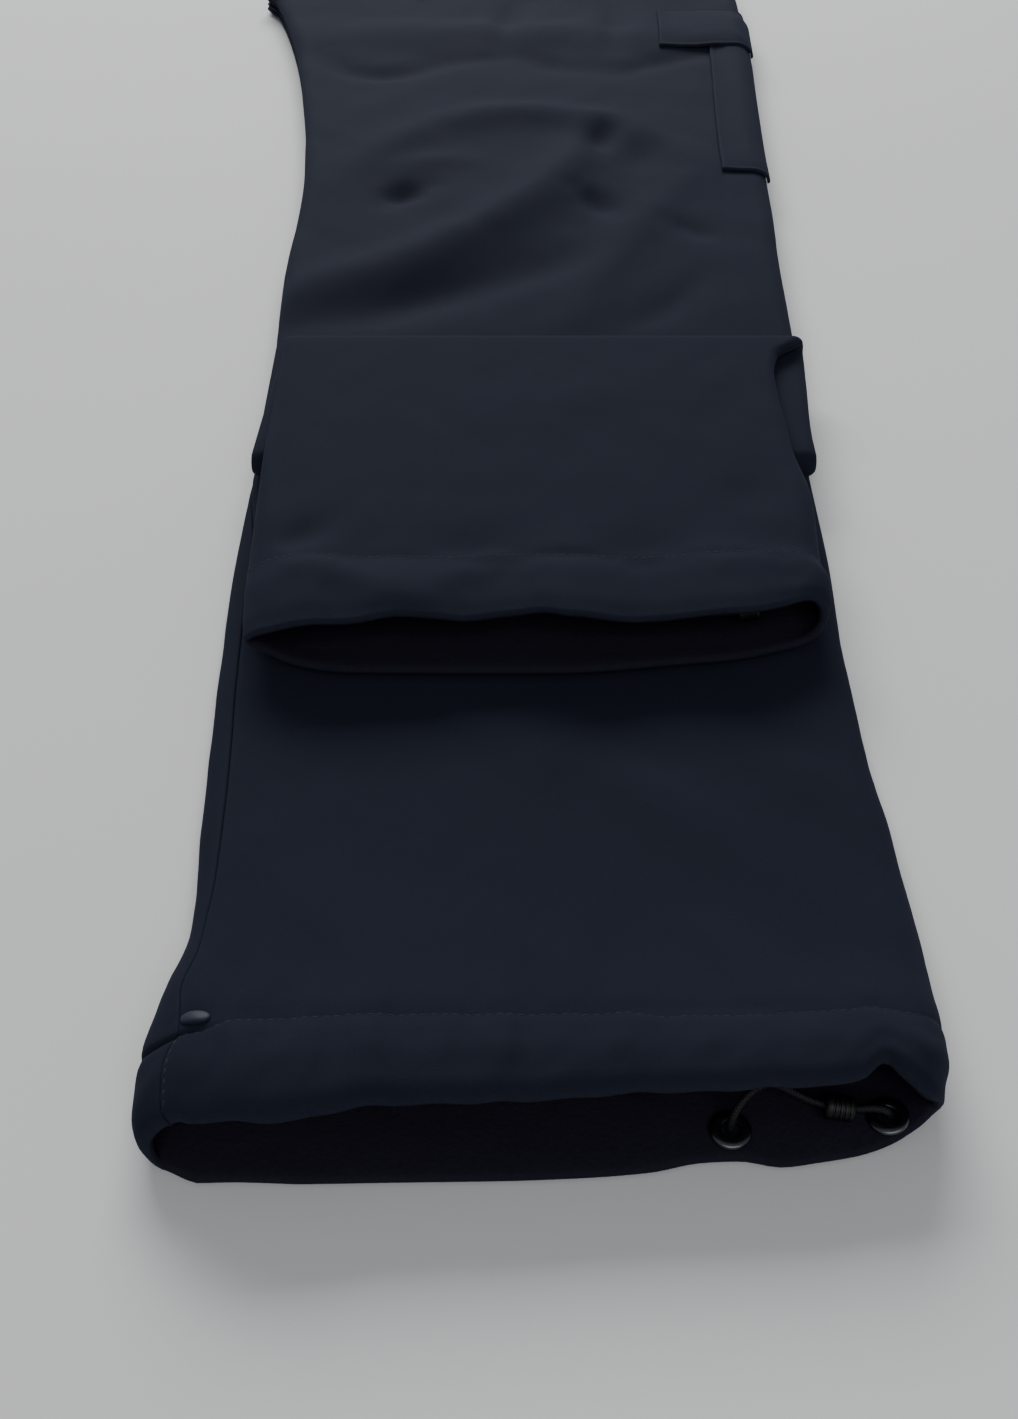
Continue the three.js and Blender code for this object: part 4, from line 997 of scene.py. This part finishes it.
CLOTH_LOOK = softshell("softshell", (0.0066, 0.0077, 0.0132), (0.0162, 0.0183, 0.0286))
BAND_LOOK = softshell("softshell_band", (0.0062, 0.0072, 0.0125), (0.0152, 0.0171, 0.027))
LINING_LOOK = fleece("lining", (0.0086, 0.0077, 0.0142), (0.0195, 0.0172, 0.0286))
THREAD_LOOK = thread("thread", (0.0045, 0.006, 0.011), (0.016, 0.021, 0.034))
# The drawcord's own colour is near black, and it is painted darker still: painted shade of the hem's
# cavity, where the cord lies.
CORD_WITH_PAINTED_SHADE = braid("cord", (0.001, 0.0011, 0.0018), (0.0034, 0.0038, 0.0056))
METAL_LOOK = lacquered(
    "eyelet_metal", (0.05, 0.052, 0.06), (0.13, 0.135, 0.15), Metallic=1.0, Coat_Weight=0.3
)
# The cord lock is black plastic, painted darker still: painted shade of the hem's cavity, where the
# lock sits.
LOCK_PLASTIC_WITH_PAINTED_SHADE = lacquered(
    "lock_plastic", (0.0014, 0.0014, 0.0022), (0.0034, 0.0034, 0.0048), 0.34, Specular_IOR_Level=0.25
)
TAPE_LOOK = lacquered(
    "seam_tape", (0.009, 0.012, 0.022), (0.02, 0.027, 0.046), 0.38, Specular_IOR_Level=0.12
)


# ---------------------------------------------------------------- drawcords

CORD_DIAMETER = 2.2
CORD_COLUMNS = "x along height"
LOWER_CORD = table(
    CORD_COLUMNS,
    (54.2, 11.6, 3.4),
    (54.2, 11.8, 5.6),
    (54.6, 12.6, 8.2),
    (56, 14.2, 10.8),
    (58.8, 16.4, 13),
    (62.4, 18.2, 13.8),
    (66, 18.8, 12.4),
    (69.8, 18.2, 10.2),
    (74.4, 17, 8.4),
    (79.6, 16, 7.4),
    (84.8, 15.4, 7.4),
    (89.2, 15.1, 8.2),
    (92.1, 14.8, 7.7),
    (93.1, 14.7, 6.2),
    (93.2, 14.7, 4.9),
)
UPPER_CORD = table(
    CORD_COLUMNS,
    (54, 189.6, 25.2),
    (54, 189.9, 23.4),
    (54.2, 190.8, 21.5),
    (55.6, 192.3, 19.8),
    (58.8, 192.9, 18.7),
    (63, 193.2, 18.3),
    (68, 193.4, 18.2),
    (73.5, 193.6, 18.3),
    (79, 193.9, 18.8),
    (83.6, 194.2, 19.9),
    (86.6, 194.3, 21.6),
    (87.8, 194.2, 23.4),
    (88, 194.2, 25),
)
EYELET = {"radius": 5.2, "hole": 2.2, "thick": 1, "clear": 1}
CORD_LOCK = {"radius": 3.3, "bore": 1.35, "length": 7.5, "share": 0.72}


def spline(points, steps):
    """A smooth curve through points, with that many steps between each two."""
    ends = [2 * points[0] - points[1], *points, 2 * points[-1] - points[-2]]
    curve = []
    for a, b, c, d in zip(ends, ends[1:], ends[2:], ends[3:]):
        for t in np.arange(steps) / steps:
            bend = (2 * a - 5 * b + 4 * c - d) * t**2 + (3 * b - a - 3 * c + d) * t**3
            curve.append(b + 0.5 * ((c - a) * t + bend))
    return np.array([*curve, points[-1]])


def frames(path):
    """The direction at each point of a path, with two directions square to it that don't twist."""
    along = np.gradient(path, axis=0)
    along /= np.linalg.norm(along, axis=1, keepdims=True)
    side = [np.cross(along[0], (0.31, 0.52, 0.8))]
    for direction in along[1:]:
        side.append(side[-1] - direction * (side[-1] @ direction))
    side = np.array([s / np.linalg.norm(s) for s in side])
    return along, side, np.cross(along, side)


def tube(name, path, radius, sides, relief=None):
    """A capped tube along a path, with u round it and v along it."""
    along, side, up = frames(path)
    angle = np.linspace(0, 2 * np.pi, sides, endpoint=False)
    length = np.append(0, np.cumsum(np.linalg.norm(np.diff(path, axis=0), axis=1)))
    reach = np.full((len(path), sides), float(radius))
    if relief is not None:
        reach = reach + relief(angle[None, :], length[:, None])
    ring = np.cos(angle)[None, :, None] * side[:, None] + np.sin(angle)[None, :, None] * up[:, None]
    points = (path[:, None] + reach[..., None] * ring).reshape(-1, 3)
    at = np.arange(len(points)).reshape(len(path), sides)
    faces = faces_between(at) + [at[0, ::-1].tolist(), at[-1].tolist()]
    uv = np.stack(np.broadcast_arrays(angle[None, :] * radius, length[:, None]), -1)
    return make_object(name, points, faces, uv.reshape(-1, 2))


def braid_relief(angle, length):
    """Eight strands that cross on the cord's surface."""
    twist = 2 * np.pi * length / 6.9
    return 0.07 * np.maximum(np.sin(4 * (angle + twist)), np.sin(4 * (angle - twist)))


def turned(name, profile, centre, axis, sides=48):
    """A closed ring about an axis, from (radius, height) points of its section."""
    profile = np.array(profile, float)
    turn = Vector((0, 0, 1)).rotation_difference(Vector(axis)).to_matrix()
    angle = np.linspace(0, 2 * np.pi, sides, endpoint=False)
    ring = np.stack((np.cos(angle), np.sin(angle), 0 * angle), -1)
    points = profile[:, None, :1] * ring[None] + profile[:, None, 1:] * np.array((0, 0, 1.0))
    points = points.reshape(-1, 3) @ np.array(turn).T + centre
    at = np.arange(len(points)).reshape(len(profile), sides)
    up, over = np.roll(at, -1, axis=0), np.roll(at, -1, axis=1)
    faces = quads(at, over, np.roll(over, -1, axis=0), up)
    return make_object(name, points, faces.tolist())


def around_for(surface, across, along, start, end):
    """Where round a surface a place across is, between two turns of its section."""
    low, high = float(start), float(end)

    def at(turn):
        return surface(np.array([turn]), np.array([float(along)]))[0, 0]

    rising = at(high) > at(low)
    for _ in range(30):
        middle = (low + high) / 2
        if (at(middle) < across) == rising:
            low = middle
        else:
            high = middle
    return (low + high) / 2


def make_cord(leg, route):
    points = np.stack(list(route.values()), -1)
    path = spline(points, 6)
    name = f"drawcord_{leg}"
    cord = tube(name + "_braid", path, CORD_DIAMETER / 2 - 0.05, 24, braid_relief)
    dress(cord, [CORD_WITH_PAINTED_SHADE], [name])
    length = np.append(0, np.cumsum(np.linalg.norm(np.diff(path, axis=0), axis=1)))
    at = CORD_LOCK["share"] * length[-1]
    centre = [np.interp(at, length, path[:, k]) for k in range(3)]
    i = int(np.searchsorted(length, at))
    lock = make_lock(f"cord_lock_{leg}", np.array(centre), path[i + 1] - path[i - 2])


def make_lock(name, centre, axis):
    """A barrel cord lock with gripping ribs and rounded ends."""
    bore, radius, half = CORD_LOCK["bore"], CORD_LOCK["radius"], CORD_LOCK["length"] / 2
    profile = [(bore, -half + 0.4), (bore + 0.3, -half), (radius - 1, -half)]
    profile += [(radius - 0.35, -half + 0.25), (radius, -half + 0.9)]
    for groove in (-1.6, -0.4, 0.8, 2.0):
        profile += [(radius, groove - 0.35), (radius - 0.3, groove - 0.15)]
        profile += [(radius - 0.3, groove + 0.15), (radius, groove + 0.35)]
    profile += [(radius, half - 0.9), (radius - 0.35, half - 0.25), (radius - 1, half)]
    profile += [(bore + 0.3, half), (bore, half - 0.4)]
    lock = turned(name + "_barrel", profile, centre, Vector(axis).normalized())
    return dress(lock, [LOCK_PLASTIC_WITH_PAINTED_SHADE], [name])


def make_eyelets(leg, surface, places, from_hem, start, end):
    """Rolled metal rings on the inside of a hem."""
    for number, across in enumerate(places, 1):
        around = np.array([around_for(surface, across, from_hem, start, end)])
        along = np.array([float(from_hem)])
        inwards = -outwards(surface, around, along)[0]
        centre = surface(around, along)[0] + inwards * (HEM_CLOTH + EYELET["clear"])
        hole, radius, thick = EYELET["hole"], EYELET["radius"], EYELET["thick"]
        middle, half = (hole + radius) / 2, (radius - hole) / 2
        profile = [(radius, 0), (hole, 0)]
        for angle in np.linspace(np.pi, 0, 13)[1:-1]:
            bulge = 0.25 + (thick - 0.25) * np.sin(angle) ** 0.7
            profile.append((middle + half * np.cos(angle), bulge))
        name = f"eyelet_{leg}_{number}"
        ring = turned(name + "_ring", profile[::-1], centre, inwards)
        dress(ring, [METAL_LOOK], [name])


make_cord("left", LOWER_CORD)
make_cord("right", UPPER_CORD)
make_eyelets("left", lower_point, (54.2, 94), 8, 3, 5)
make_eyelets("right", upper_point, (54, 88), 9, 1, 2)


# ---------------------------------------------------------------- panels

left_front = panel("left_front_cloth", lower_point, lower_relief, LOWER_ROWS, left_front_columns)
dress(left_front, [CLOTH_LOOK, LINING_LOOK], ["left_front"])

left_back = panel(
    "left_back_cloth",
    lower_point,
    lower_relief,
    np.concatenate((LOWER_ROWS, SEAT_ROWS)),
    left_back_columns,
)
dress(left_back, [CLOTH_LOOK, LINING_LOOK], ["left_back"])

right_back = panel(
    "right_back_cloth",
    upper_point,
    upper_relief,
    np.concatenate((Z_ROWS, route_of(THIGH_ROWS))),
    right_back_columns,
)
dress(right_back, [CLOTH_LOOK, LINING_LOOK], ["right_back"])

right_front = panel(
    "right_front_cloth",
    upper_point,
    upper_relief,
    np.append(Z_ROWS, route_of(LOWER_LEG_END)),
    right_front_columns,
)
dress(right_front, [CLOTH_LOOK, LINING_LOOK], ["right_front"])


# ---------------------------------------------------------------- hidden layers

LAYERED_SIDE = table(
    "share inset",
    (-0.04, 3.2),
    (0.12, 1.2),
    (0.34, 0.6),
    (0.46, 3.2),
    (0.53, 6),
    (0.6, 3.2),
    (0.72, 0.6),
    (0.92, 1.2),
    (1.05, 2.1),
)
INNER_REACH = 21
INNER_GAP = {"leg": 0.45, "seat": 1.6, "below": 0.4}
BAND_FRONT_DROP = 32
TOP_POINTS = 60
SIDE_POINTS = 17


def inner_ring(along):
    """The section of the hidden front layers of thigh and seat."""
    route = np.array([float(route_of(along))])
    place = np.array([float(along)])
    inset = FRONT_INSET * smooth(place, CROTCH_START, CROTCH_START + 34)[0]
    to_waist = smooth(place, 960, 1050)[0]
    clear = mix(INNER_GAP["leg"], INNER_GAP["seat"], smooth(place, CROTCH_START, CROTCH_END)[0])
    upper_left, upper_right = (upper_edge(side, route)[0] for side in ("left", "right"))
    lower_left, lower_right = (read(OUTLINE, place, side)[0] for side in ("left", "right"))
    left = max(upper_left, lower_left) + inset
    right = min(upper_right, lower_right) - 4 * to_waist
    start = mix(0.5, 1.14, inset / FRONT_INSET)
    around = np.append(np.linspace(start, 2, TOP_POINTS - 4), np.linspace(2, 2.5, 5)[1:])
    routes = np.full(TOP_POINTS, route[0])
    top = upper_point(around, routes)
    top = top - outwards(upper_point, around, routes) * (CLOTH + clear)
    top[:, 1] += waist_drop(top[:, 0], np.full(TOP_POINTS, place[0]), upper_left, upper_right)
    low, high = read(LOWER_SECTION, place, "middle")[0], read(THIGH_MIDDLE, place, "height")[0]
    share = np.linspace(1.05, -0.04, SIDE_POINTS)
    inset_at, height = read(LAYERED_SIDE, share, "inset"), mix(low, high, share)
    same = np.full(SIDE_POINTS, place[0])
    right_side = np.stack((right - inset_at, same, height), -1)
    left_side = np.stack((left + inset_at, same, height), -1)[::-1]
    under = np.linspace(right - 9, left + 9, TOP_POINTS)
    bottom = np.stack(
        (under, np.full(TOP_POINTS, place[0]), np.full(TOP_POINTS, CLOTH + INNER_GAP["below"])), -1
    )
    ring = np.concatenate((top, right_side, bottom, left_side))
    to_side = np.clip((ring[:, 0] - left) / (right - left), 0, 1)
    ring[:, 1] += (INNER_REACH - mix(BAND_FRONT_DROP, WAIST_SLANT, to_side)) * to_waist
    return ring


def end_faces():
    """Faces that close an end of the hidden layers: a strip between the top and the bottom, and a
    fan on each side of each side face's groove."""
    below = [TOP_POINTS + SIDE_POINTS + TOP_POINTS - 1 - j for j in range(TOP_POINTS)]
    faces = [(j, j + 1, below[j + 1], below[j]) for j in range(TOP_POINTS - 1)]
    groove = int(np.argmax(read(LAYERED_SIDE, np.linspace(1.05, -0.04, SIDE_POINTS), "inset")))
    right = [TOP_POINTS + j for j in range(SIDE_POINTS)]
    left = [2 * TOP_POINTS + 2 * SIDE_POINTS - 1 - j for j in range(SIDE_POINTS)]
    for side, upper, lower, flip in (
        (right, TOP_POINTS - 1, below[-1], False),
        (left, 0, below[0], True),
    ):
        fan = [(upper, side[j], side[j + 1]) for j in range(groove)]
        fan.append((upper, side[groove], lower))
        fan += [(lower, side[j], side[j + 1]) for j in range(groove, SIDE_POINTS - 1)]
        faces += [face[::-1] if flip else face for face in fan]
    return faces


def make_inner_layers():
    places = np.append(np.arange(301, 1046, 6.0), 1050)
    rings = np.array([inner_ring(along) for along in places])
    count = rings.shape[1]
    at = np.arange(len(places) * count).reshape(len(places), count)
    faces = faces_between(at)
    last = (len(places) - 1) * count
    for face in end_faces():
        faces += [face[::-1], [last + i for i in face]]
    u = np.cumsum(np.linalg.norm(np.diff(rings, axis=1, prepend=rings[:, :1]), axis=-1), axis=1)
    v = np.broadcast_to(places[:, None], u.shape)
    uv = np.stack((u, v), -1).reshape(-1, 2)
    piece = make_object("inner_layers_cloth", rings.reshape(-1, 3), faces, uv)
    return dress(piece, [CLOTH_LOOK], ["inner_layers"])


inner_layers = make_inner_layers()


# ---------------------------------------------------------------- waistband

BAND_DEPTH = 38
BAND_CLOTH = 2.4
BAND_PITCH = BAND_CLOTH + 0.3
BAND_LEFT = -102
BAND_RIGHT = 123
BAND_SEWN = {"inset": 3, "deep": 0.24, "width": 0.9}


def band_layer(number):
    return BAND_CLOTH / 2 + BAND_PITCH * number


def band_path():
    """The waistband's middle line, once round the loop: x, height, and how far the front drops."""
    right = BAND_RIGHT - (BAND_PITCH + BAND_CLOTH) / 2
    front = BAND_LEFT + FRONT_INSET + (BAND_PITCH + BAND_CLOTH) / 2
    back = BAND_LEFT + (3 * BAND_PITCH + BAND_CLOTH) / 2
    points = []

    def run(start, end, number, is_front):
        for x in np.linspace(start, end, 40):
            points.append((x, band_layer(number), is_front))

    def turn(x, start, end, side, is_front):
        middle = (band_layer(start) + band_layer(end)) / 2
        reach = (band_layer(start) - band_layer(end)) / 2
        steps = 7 + 4 * abs(start - end)
        for angle in np.linspace(0, np.pi, steps + 1)[1:-1]:
            out = side * abs(reach) * np.sin(angle)
            points.append((x + out, middle + reach * np.cos(angle), is_front))

    run(back, right, 3, 0)
    turn(right, 3, 2, 1, 0)
    run(right, front, 2, 1)
    turn(front, 2, 1, -1, 1)
    run(front, right, 1, 1)
    turn(right, 1, 0, 1, 0)
    run(right, back, 0, 0)
    turn(back, 0, 3, -1, 0)
    return np.array(points)


def band_seam(x, is_front):
    to_side = np.clip((x - BAND_LEFT) / (BAND_RIGHT - BAND_LEFT), 0, 1)
    return WAIST_SEAM - mix(BAND_FRONT_DROP * is_front, WAIST_SLANT, to_side)


def make_waistband():
    path = band_path()
    x, height, is_front = path.T
    step = np.roll(path, -1, axis=0) - np.roll(path, 1, axis=0)
    length = np.hypot(step[:, 0], step[:, 1])
    out_x, out_up = -step[:, 1] / length, step[:, 0] / length
    share = row_places((0.02, 0.01), (0.1, 0.02), (0.9, 0.05), (0.97, 0.02), (1, 0.0075))
    from_edge = np.minimum(share, 1 - share) * BAND_DEPTH
    half = BAND_CLOTH / 2
    thick = half - rolled(from_edge, half * 0.8)
    stitched = BAND_SEWN["deep"] * bell(from_edge - BAND_SEWN["inset"], BAND_SEWN["width"])
    along = band_seam(x, is_front)[:, None] + share * BAND_DEPTH

    def side_points(sign):
        out = sign * (thick - stitched)
        across, up = x[:, None] + out * out_x[:, None], height[:, None] + out * out_up[:, None]
        return np.stack((across, along, up), -1)

    outer, inner = side_points(1), side_points(-1)
    rows, places = outer.shape[:2]
    at = np.arange(rows * places).reshape(rows, places)
    back = at + rows * places
    over, back_over = np.roll(at, -1, axis=0), np.roll(back, -1, axis=0)
    faces = np.concatenate(
        (
            quads(at[:, :-1], over[:, :-1], over[:, 1:], at[:, 1:]),
            quads(back[:, 1:], back_over[:, 1:], back_over[:, :-1], back[:, :-1]),
            quads(back[:, 0], back_over[:, 0], over[:, 0], at[:, 0]),
            quads(at[:, -1], over[:, -1], back_over[:, -1], back[:, -1]),
        )
    )
    points = np.concatenate((outer.reshape(-1, 3), inner.reshape(-1, 3)))
    run = np.cumsum(np.hypot(*np.diff(path[:, :2], axis=0, prepend=path[:1, :2]).T))
    uv = np.stack(np.broadcast_arrays(run[:, None], share * BAND_DEPTH), -1).reshape(-1, 2)
    wear = np.broadcast_to(bell(from_edge, 1.4), (rows, places)).ravel()
    piece = make_object(
        "waistband_cloth", points, faces.tolist(), np.tile(uv, (2, 1)), np.tile(wear, 2)
    )
    return dress(piece, [BAND_LOOK], ["waistband"])


waistband = make_waistband()


# ---------------------------------------------------------------- pocket on the outseam

PATCH_GAP = 0.5
POCKET_BAG = {"start": 557, "end": 790, "reach": 24}
POCKET_FLAP = {"start": 744, "end": 815, "reach": 55}
FLAP_DROP = 22
FLAP_SIDE_DROP = {"start": 3, "end": 15}
PATCH_ON_PATCH = 0.3
PATCH_ROLL = 0.8
PATCH_SEWN = {"inset": 3.2, "deep": 0.3, "width": 0.8}
PATCH_PUFF = 0.5


def bag_gap(along, from_right):
    """How far the bag lies off the panel."""
    return PATCH_GAP


def flap_gap(along, from_right):
    """How far the flap lies off the panel: it steps down from the bag past its edges."""
    beyond = POCKET_BAG["end"], POCKET_BAG["end"] + FLAP_DROP
    beside = POCKET_BAG["reach"] + FLAP_SIDE_DROP["start"], POCKET_BAG["reach"] + FLAP_SIDE_DROP["end"]
    over_bag = (1 - smooth(along, *beyond)) * (1 - smooth(from_right, *beside))
    return PATCH_GAP + (PATCH_CLOTH + PATCH_ON_PATCH) * over_bag


def patch(name, node, place, gap_at):
    """A piece of pocket cloth made from the thigh's points moved out, with rolled edges."""
    start, end, reach = place.values()
    along = np.concatenate(
        (start + EDGE_STEPS, np.linspace(start + 4, end - 4, 34), end - EDGE_STEPS[::-1])
    )[:, None]
    route = route_of(along)
    rights = read(UPPER_SECTION, route, "right_round")
    lefts = read(UPPER_SECTION, route, "left_round")
    flat = read(OUTLINE, along, "right") - rights - read(OUTLINE, along, "left") - lefts
    first = 2 - (reach - rights) / flat
    left = first + turn_per_mm(upper_point, first, route) * EDGE_STEPS
    right = 3 - turn_per_mm(upper_point, 3 + 0 * route, route) * EDGE_STEPS[::-1]
    middle = mix(left[:, -1:], right[:, :1], np.linspace(0, 1, 22)[1:-1])
    around = np.concatenate((left, middle, right), axis=1)
    routes = np.broadcast_to(route, around.shape)
    base = upper_point(around, routes)
    normal = outwards(upper_point, around, routes)
    length = row_lengths(base)
    edge = np.minimum(length, length[:, -1:] - length)
    edge = np.minimum(edge, np.minimum(along - start, end - along))
    lift = gap_at(along, length[:, -1:] - length) + np.maximum(upper_relief(around, routes), 0)
    stitched = PATCH_SEWN["deep"] * bell(edge - PATCH_SEWN["inset"], PATCH_SEWN["width"])
    puff = PATCH_PUFF * smooth(edge, 3, 12) * (1 + 0.5 * waves(base[..., 0], along, 24, 3.3))
    outer = lift + PATCH_CLOTH - rolled(edge, PATCH_ROLL) - stitched + puff
    uv = np.stack((length, np.broadcast_to(along, length.shape)), -1)
    wear = bell(edge, 1.6)
    piece = closed_wall(
        name, base + normal * outer[..., None], base + normal * lift[..., None], uv, wear
    )
    return dress(piece, [CLOTH_LOOK, LINING_LOOK], [node])


cargo_bag = patch("cargo_bag_cloth", "cargo_bag_right", POCKET_BAG, bag_gap)
cargo_flap = patch("cargo_flap_cloth", "cargo_flap_right", POCKET_FLAP, flap_gap)


# ---------------------------------------------------------------- stitches and seam tab

STITCH = {"pitch": 2.7, "length": 2.05, "width": 0.42, "height": 0.3, "sink": 0.12}


def surface_line(surface, relief, around, along):
    """Points on the finished cloth, and its outward directions there."""
    normal = outwards(surface, around, along)
    return surface(around, along) + normal * relief(around, along)[..., None], normal


def sewn_line(name, points, normals):
    """A row of thread stitches that sit in the cloth."""
    length = np.append(0, np.cumsum(np.linalg.norm(np.diff(points, axis=0), axis=1)))
    centres = np.arange(STITCH["pitch"] / 2, length[-1], STITCH["pitch"])
    ends = np.linspace(-1, 1, 7)
    swell = np.sqrt(np.clip(1.04 - ends**4, 0, 1))
    angle = np.linspace(0, 2 * np.pi, 8, endpoint=False)
    places, uvs, faces = [], [], []
    for number, centre in enumerate(centres):
        at = centre + ends * STITCH["length"] / 2
        line = np.stack([np.interp(at, length, points[:, k]) for k in range(3)], -1)
        up = np.stack([np.interp(at, length, normals[:, k]) for k in range(3)], -1)
        along = (line[-1] - line[0]) / np.linalg.norm(line[-1] - line[0])
        side = np.cross(along, up)
        lean = 0.06 * math.sin(2.7 * number)
        wide = (np.cos(angle) * STITCH["width"] / 2)[None] * swell[:, None] + lean * ends[:, None]
        high = (np.sin(angle) * STITCH["height"] / 2)[None] * swell[:, None]
        sink = STITCH["height"] / 2 - STITCH["sink"] - 0.35 * ends**4
        ring = line[:, None] + side[:, None] * wide[..., None]
        ring = ring + up[:, None] * (high + sink[:, None])[..., None]
        first = len(places) * ring.shape[0] * ring.shape[1]
        places.append(ring.reshape(-1, 3))
        round_it = angle[None] * STITCH["width"] / 2 + 0 * at[:, None]
        uvs.append(np.stack((round_it, at[:, None] + 0 * round_it), -1).reshape(-1, 2))
        index = first + np.arange(len(ends) * len(angle)).reshape(len(ends), len(angle))
        faces += faces_between(index) + [index[0, ::-1].tolist(), index[-1].tolist()]
    piece = make_object(name, np.concatenate(places), faces, np.concatenate(uvs))
    return dress(piece, [THREAD_LOOK])


def sew_round(name, surface, relief, start, end, place_at, count=240):
    """A stitch line round a tube, at places along it that are read for each place across."""
    around = np.linspace(start, end, count)
    across = surface(around, np.full(count, float(HEM_DEPTH)))[:, 0]
    return sewn_line(name, *surface_line(surface, relief, around, place_at(across)))


def lower_stitch_place(across):
    return read(LOWER_STITCH_LINE, across, "from_hem")


def upper_stitch_place(across):
    return np.full(across.shape, float(HEM_DEPTH))


hem_threads = [
    sew_round("hem_thread_left", lower_point, lower_relief, 0.62, 3.6, lower_stitch_place),
    sew_round("hem_thread_left_wrap", lower_point, lower_relief, 0.02, 0.58, lower_stitch_place, 40),
    sew_round("hem_thread_right", upper_point, upper_relief, -0.5, 3.5, upper_stitch_place),
]

SEAM_STITCHES = {"beside": 1.5, "start": 3, "end": 27}


def sew_inseam():
    """Stitches beside the inseam over the lower hem."""
    along = np.linspace(SEAM_STITCHES["start"], SEAM_STITCHES["end"], 60)
    seam = inseam_around(along)
    around = seam + turn_per_mm(lower_point, seam, along) * SEAM_STITCHES["beside"]
    return sewn_line("hem_thread_seam", *surface_line(lower_point, lower_relief, around, along))


hem_threads.append(sew_inseam())

SEAM_TAB = {"start": -81.4, "end": -73.8, "from_hem": 31.4, "width": 4.4, "thick": 0.8, "clear": 0.5}


def make_seam_tab():
    """The smooth tape end on the inseam at the hem's stitch line: a low oval pad."""
    start, end, from_hem, width, thick, clear = SEAM_TAB.values()
    rings, sides = 9, 40
    middle, half = (start + end) / 2, (end - start) / 2
    points = []
    angle = np.linspace(0, 2 * np.pi, sides, endpoint=False)
    for share in np.linspace(0, 1, rings):
        radius = np.sin(share * np.pi / 2)
        lift = clear + thick * np.cos(share * np.pi / 2) ** 0.8
        run = np.cos(angle)
        across = middle + half * radius * np.sign(run) * np.abs(run) ** 0.8
        along = from_hem + width / 2 * radius * np.sin(angle)
        inset = (across - read(OUTLINE, along, "left")) / read(LOWER_SECTION, along, "left_round")
        around = np.arccos(1 - inset) / (np.pi / 2)
        normal = outwards(lower_point, around, along)
        points.extend(lower_point(around, along) + normal * lift)
    points = np.array(points)
    base = points[-sides:] - np.array((0, 0, clear + 0.3))
    points = np.concatenate((points, base))
    at = np.arange(len(points)).reshape(rings + 1, sides)
    over = np.roll(at, -1, axis=1)
    faces = quads(at[1:-1], at[2:], over[2:], over[1:-1]).tolist()
    faces += [[int(at[0, 0]), *pair] for pair in zip(at[1].tolist(), over[1].tolist())]
    faces.append(at[-1, ::-1].tolist())
    used = np.unique([i for face in faces for i in face])
    lookup = {int(old): new for new, old in enumerate(used)}
    faces = [[lookup[int(i)] for i in face] for face in faces]
    tab = make_object("seam_tab_tape", points[used], faces)
    return dress(tab, [TAPE_LOOK], ["seam_tab_left"])


make_seam_tab()


# ---------------------------------------------------------------- floor and light


FLOOR_REACH = 6.0
FLOOR_GAP = 0.0002


def make_floor():
    mesh = bpy.data.meshes.new("floor")
    corners = [(x * FLOOR_REACH, y * FLOOR_REACH, 0) for x, y in ((-1, -1), (1, -1), (1, 1), (-1, 1))]
    mesh.from_pydata(corners, [], [(0, 1, 2, 3)])
    floor = bpy.data.objects.new("floor", mesh)
    floor.location.z = -FLOOR_GAP
    mesh.materials.append(floor_material())
    bpy.context.scene.collection.objects.link(floor)


def soft_light(name, place, target, size, watts):
    light = bpy.data.lights.new(name, "AREA")
    light.shape = "RECTANGLE"
    light.size, light.size_y = size
    light.energy = watts
    lamp = bpy.data.objects.new(name, light)
    lamp.location = place
    aim = Vector(target) - Vector(place)
    lamp.rotation_euler = aim.to_track_quat("-Z", "Y").to_euler()
    bpy.context.scene.collection.objects.link(lamp)


def make_world(strength):
    world = bpy.data.worlds.new("studio")
    world.use_nodes = True
    background = world.node_tree.nodes["Background"]
    background.inputs["Color"].default_value = (0.9, 0.94, 1, 1)
    background.inputs["Strength"].default_value = strength
    bpy.context.scene.world = world


make_floor()
soft_light("key", (-0.6, 3.8, 2.5), (0, -0.1, 0), (3.6, 1.7), 300)
soft_light("fill", (0.4, -3.2, 2.6), (0, -0.3, 0), (3.4, 2.4), 60)
make_world(0.29)
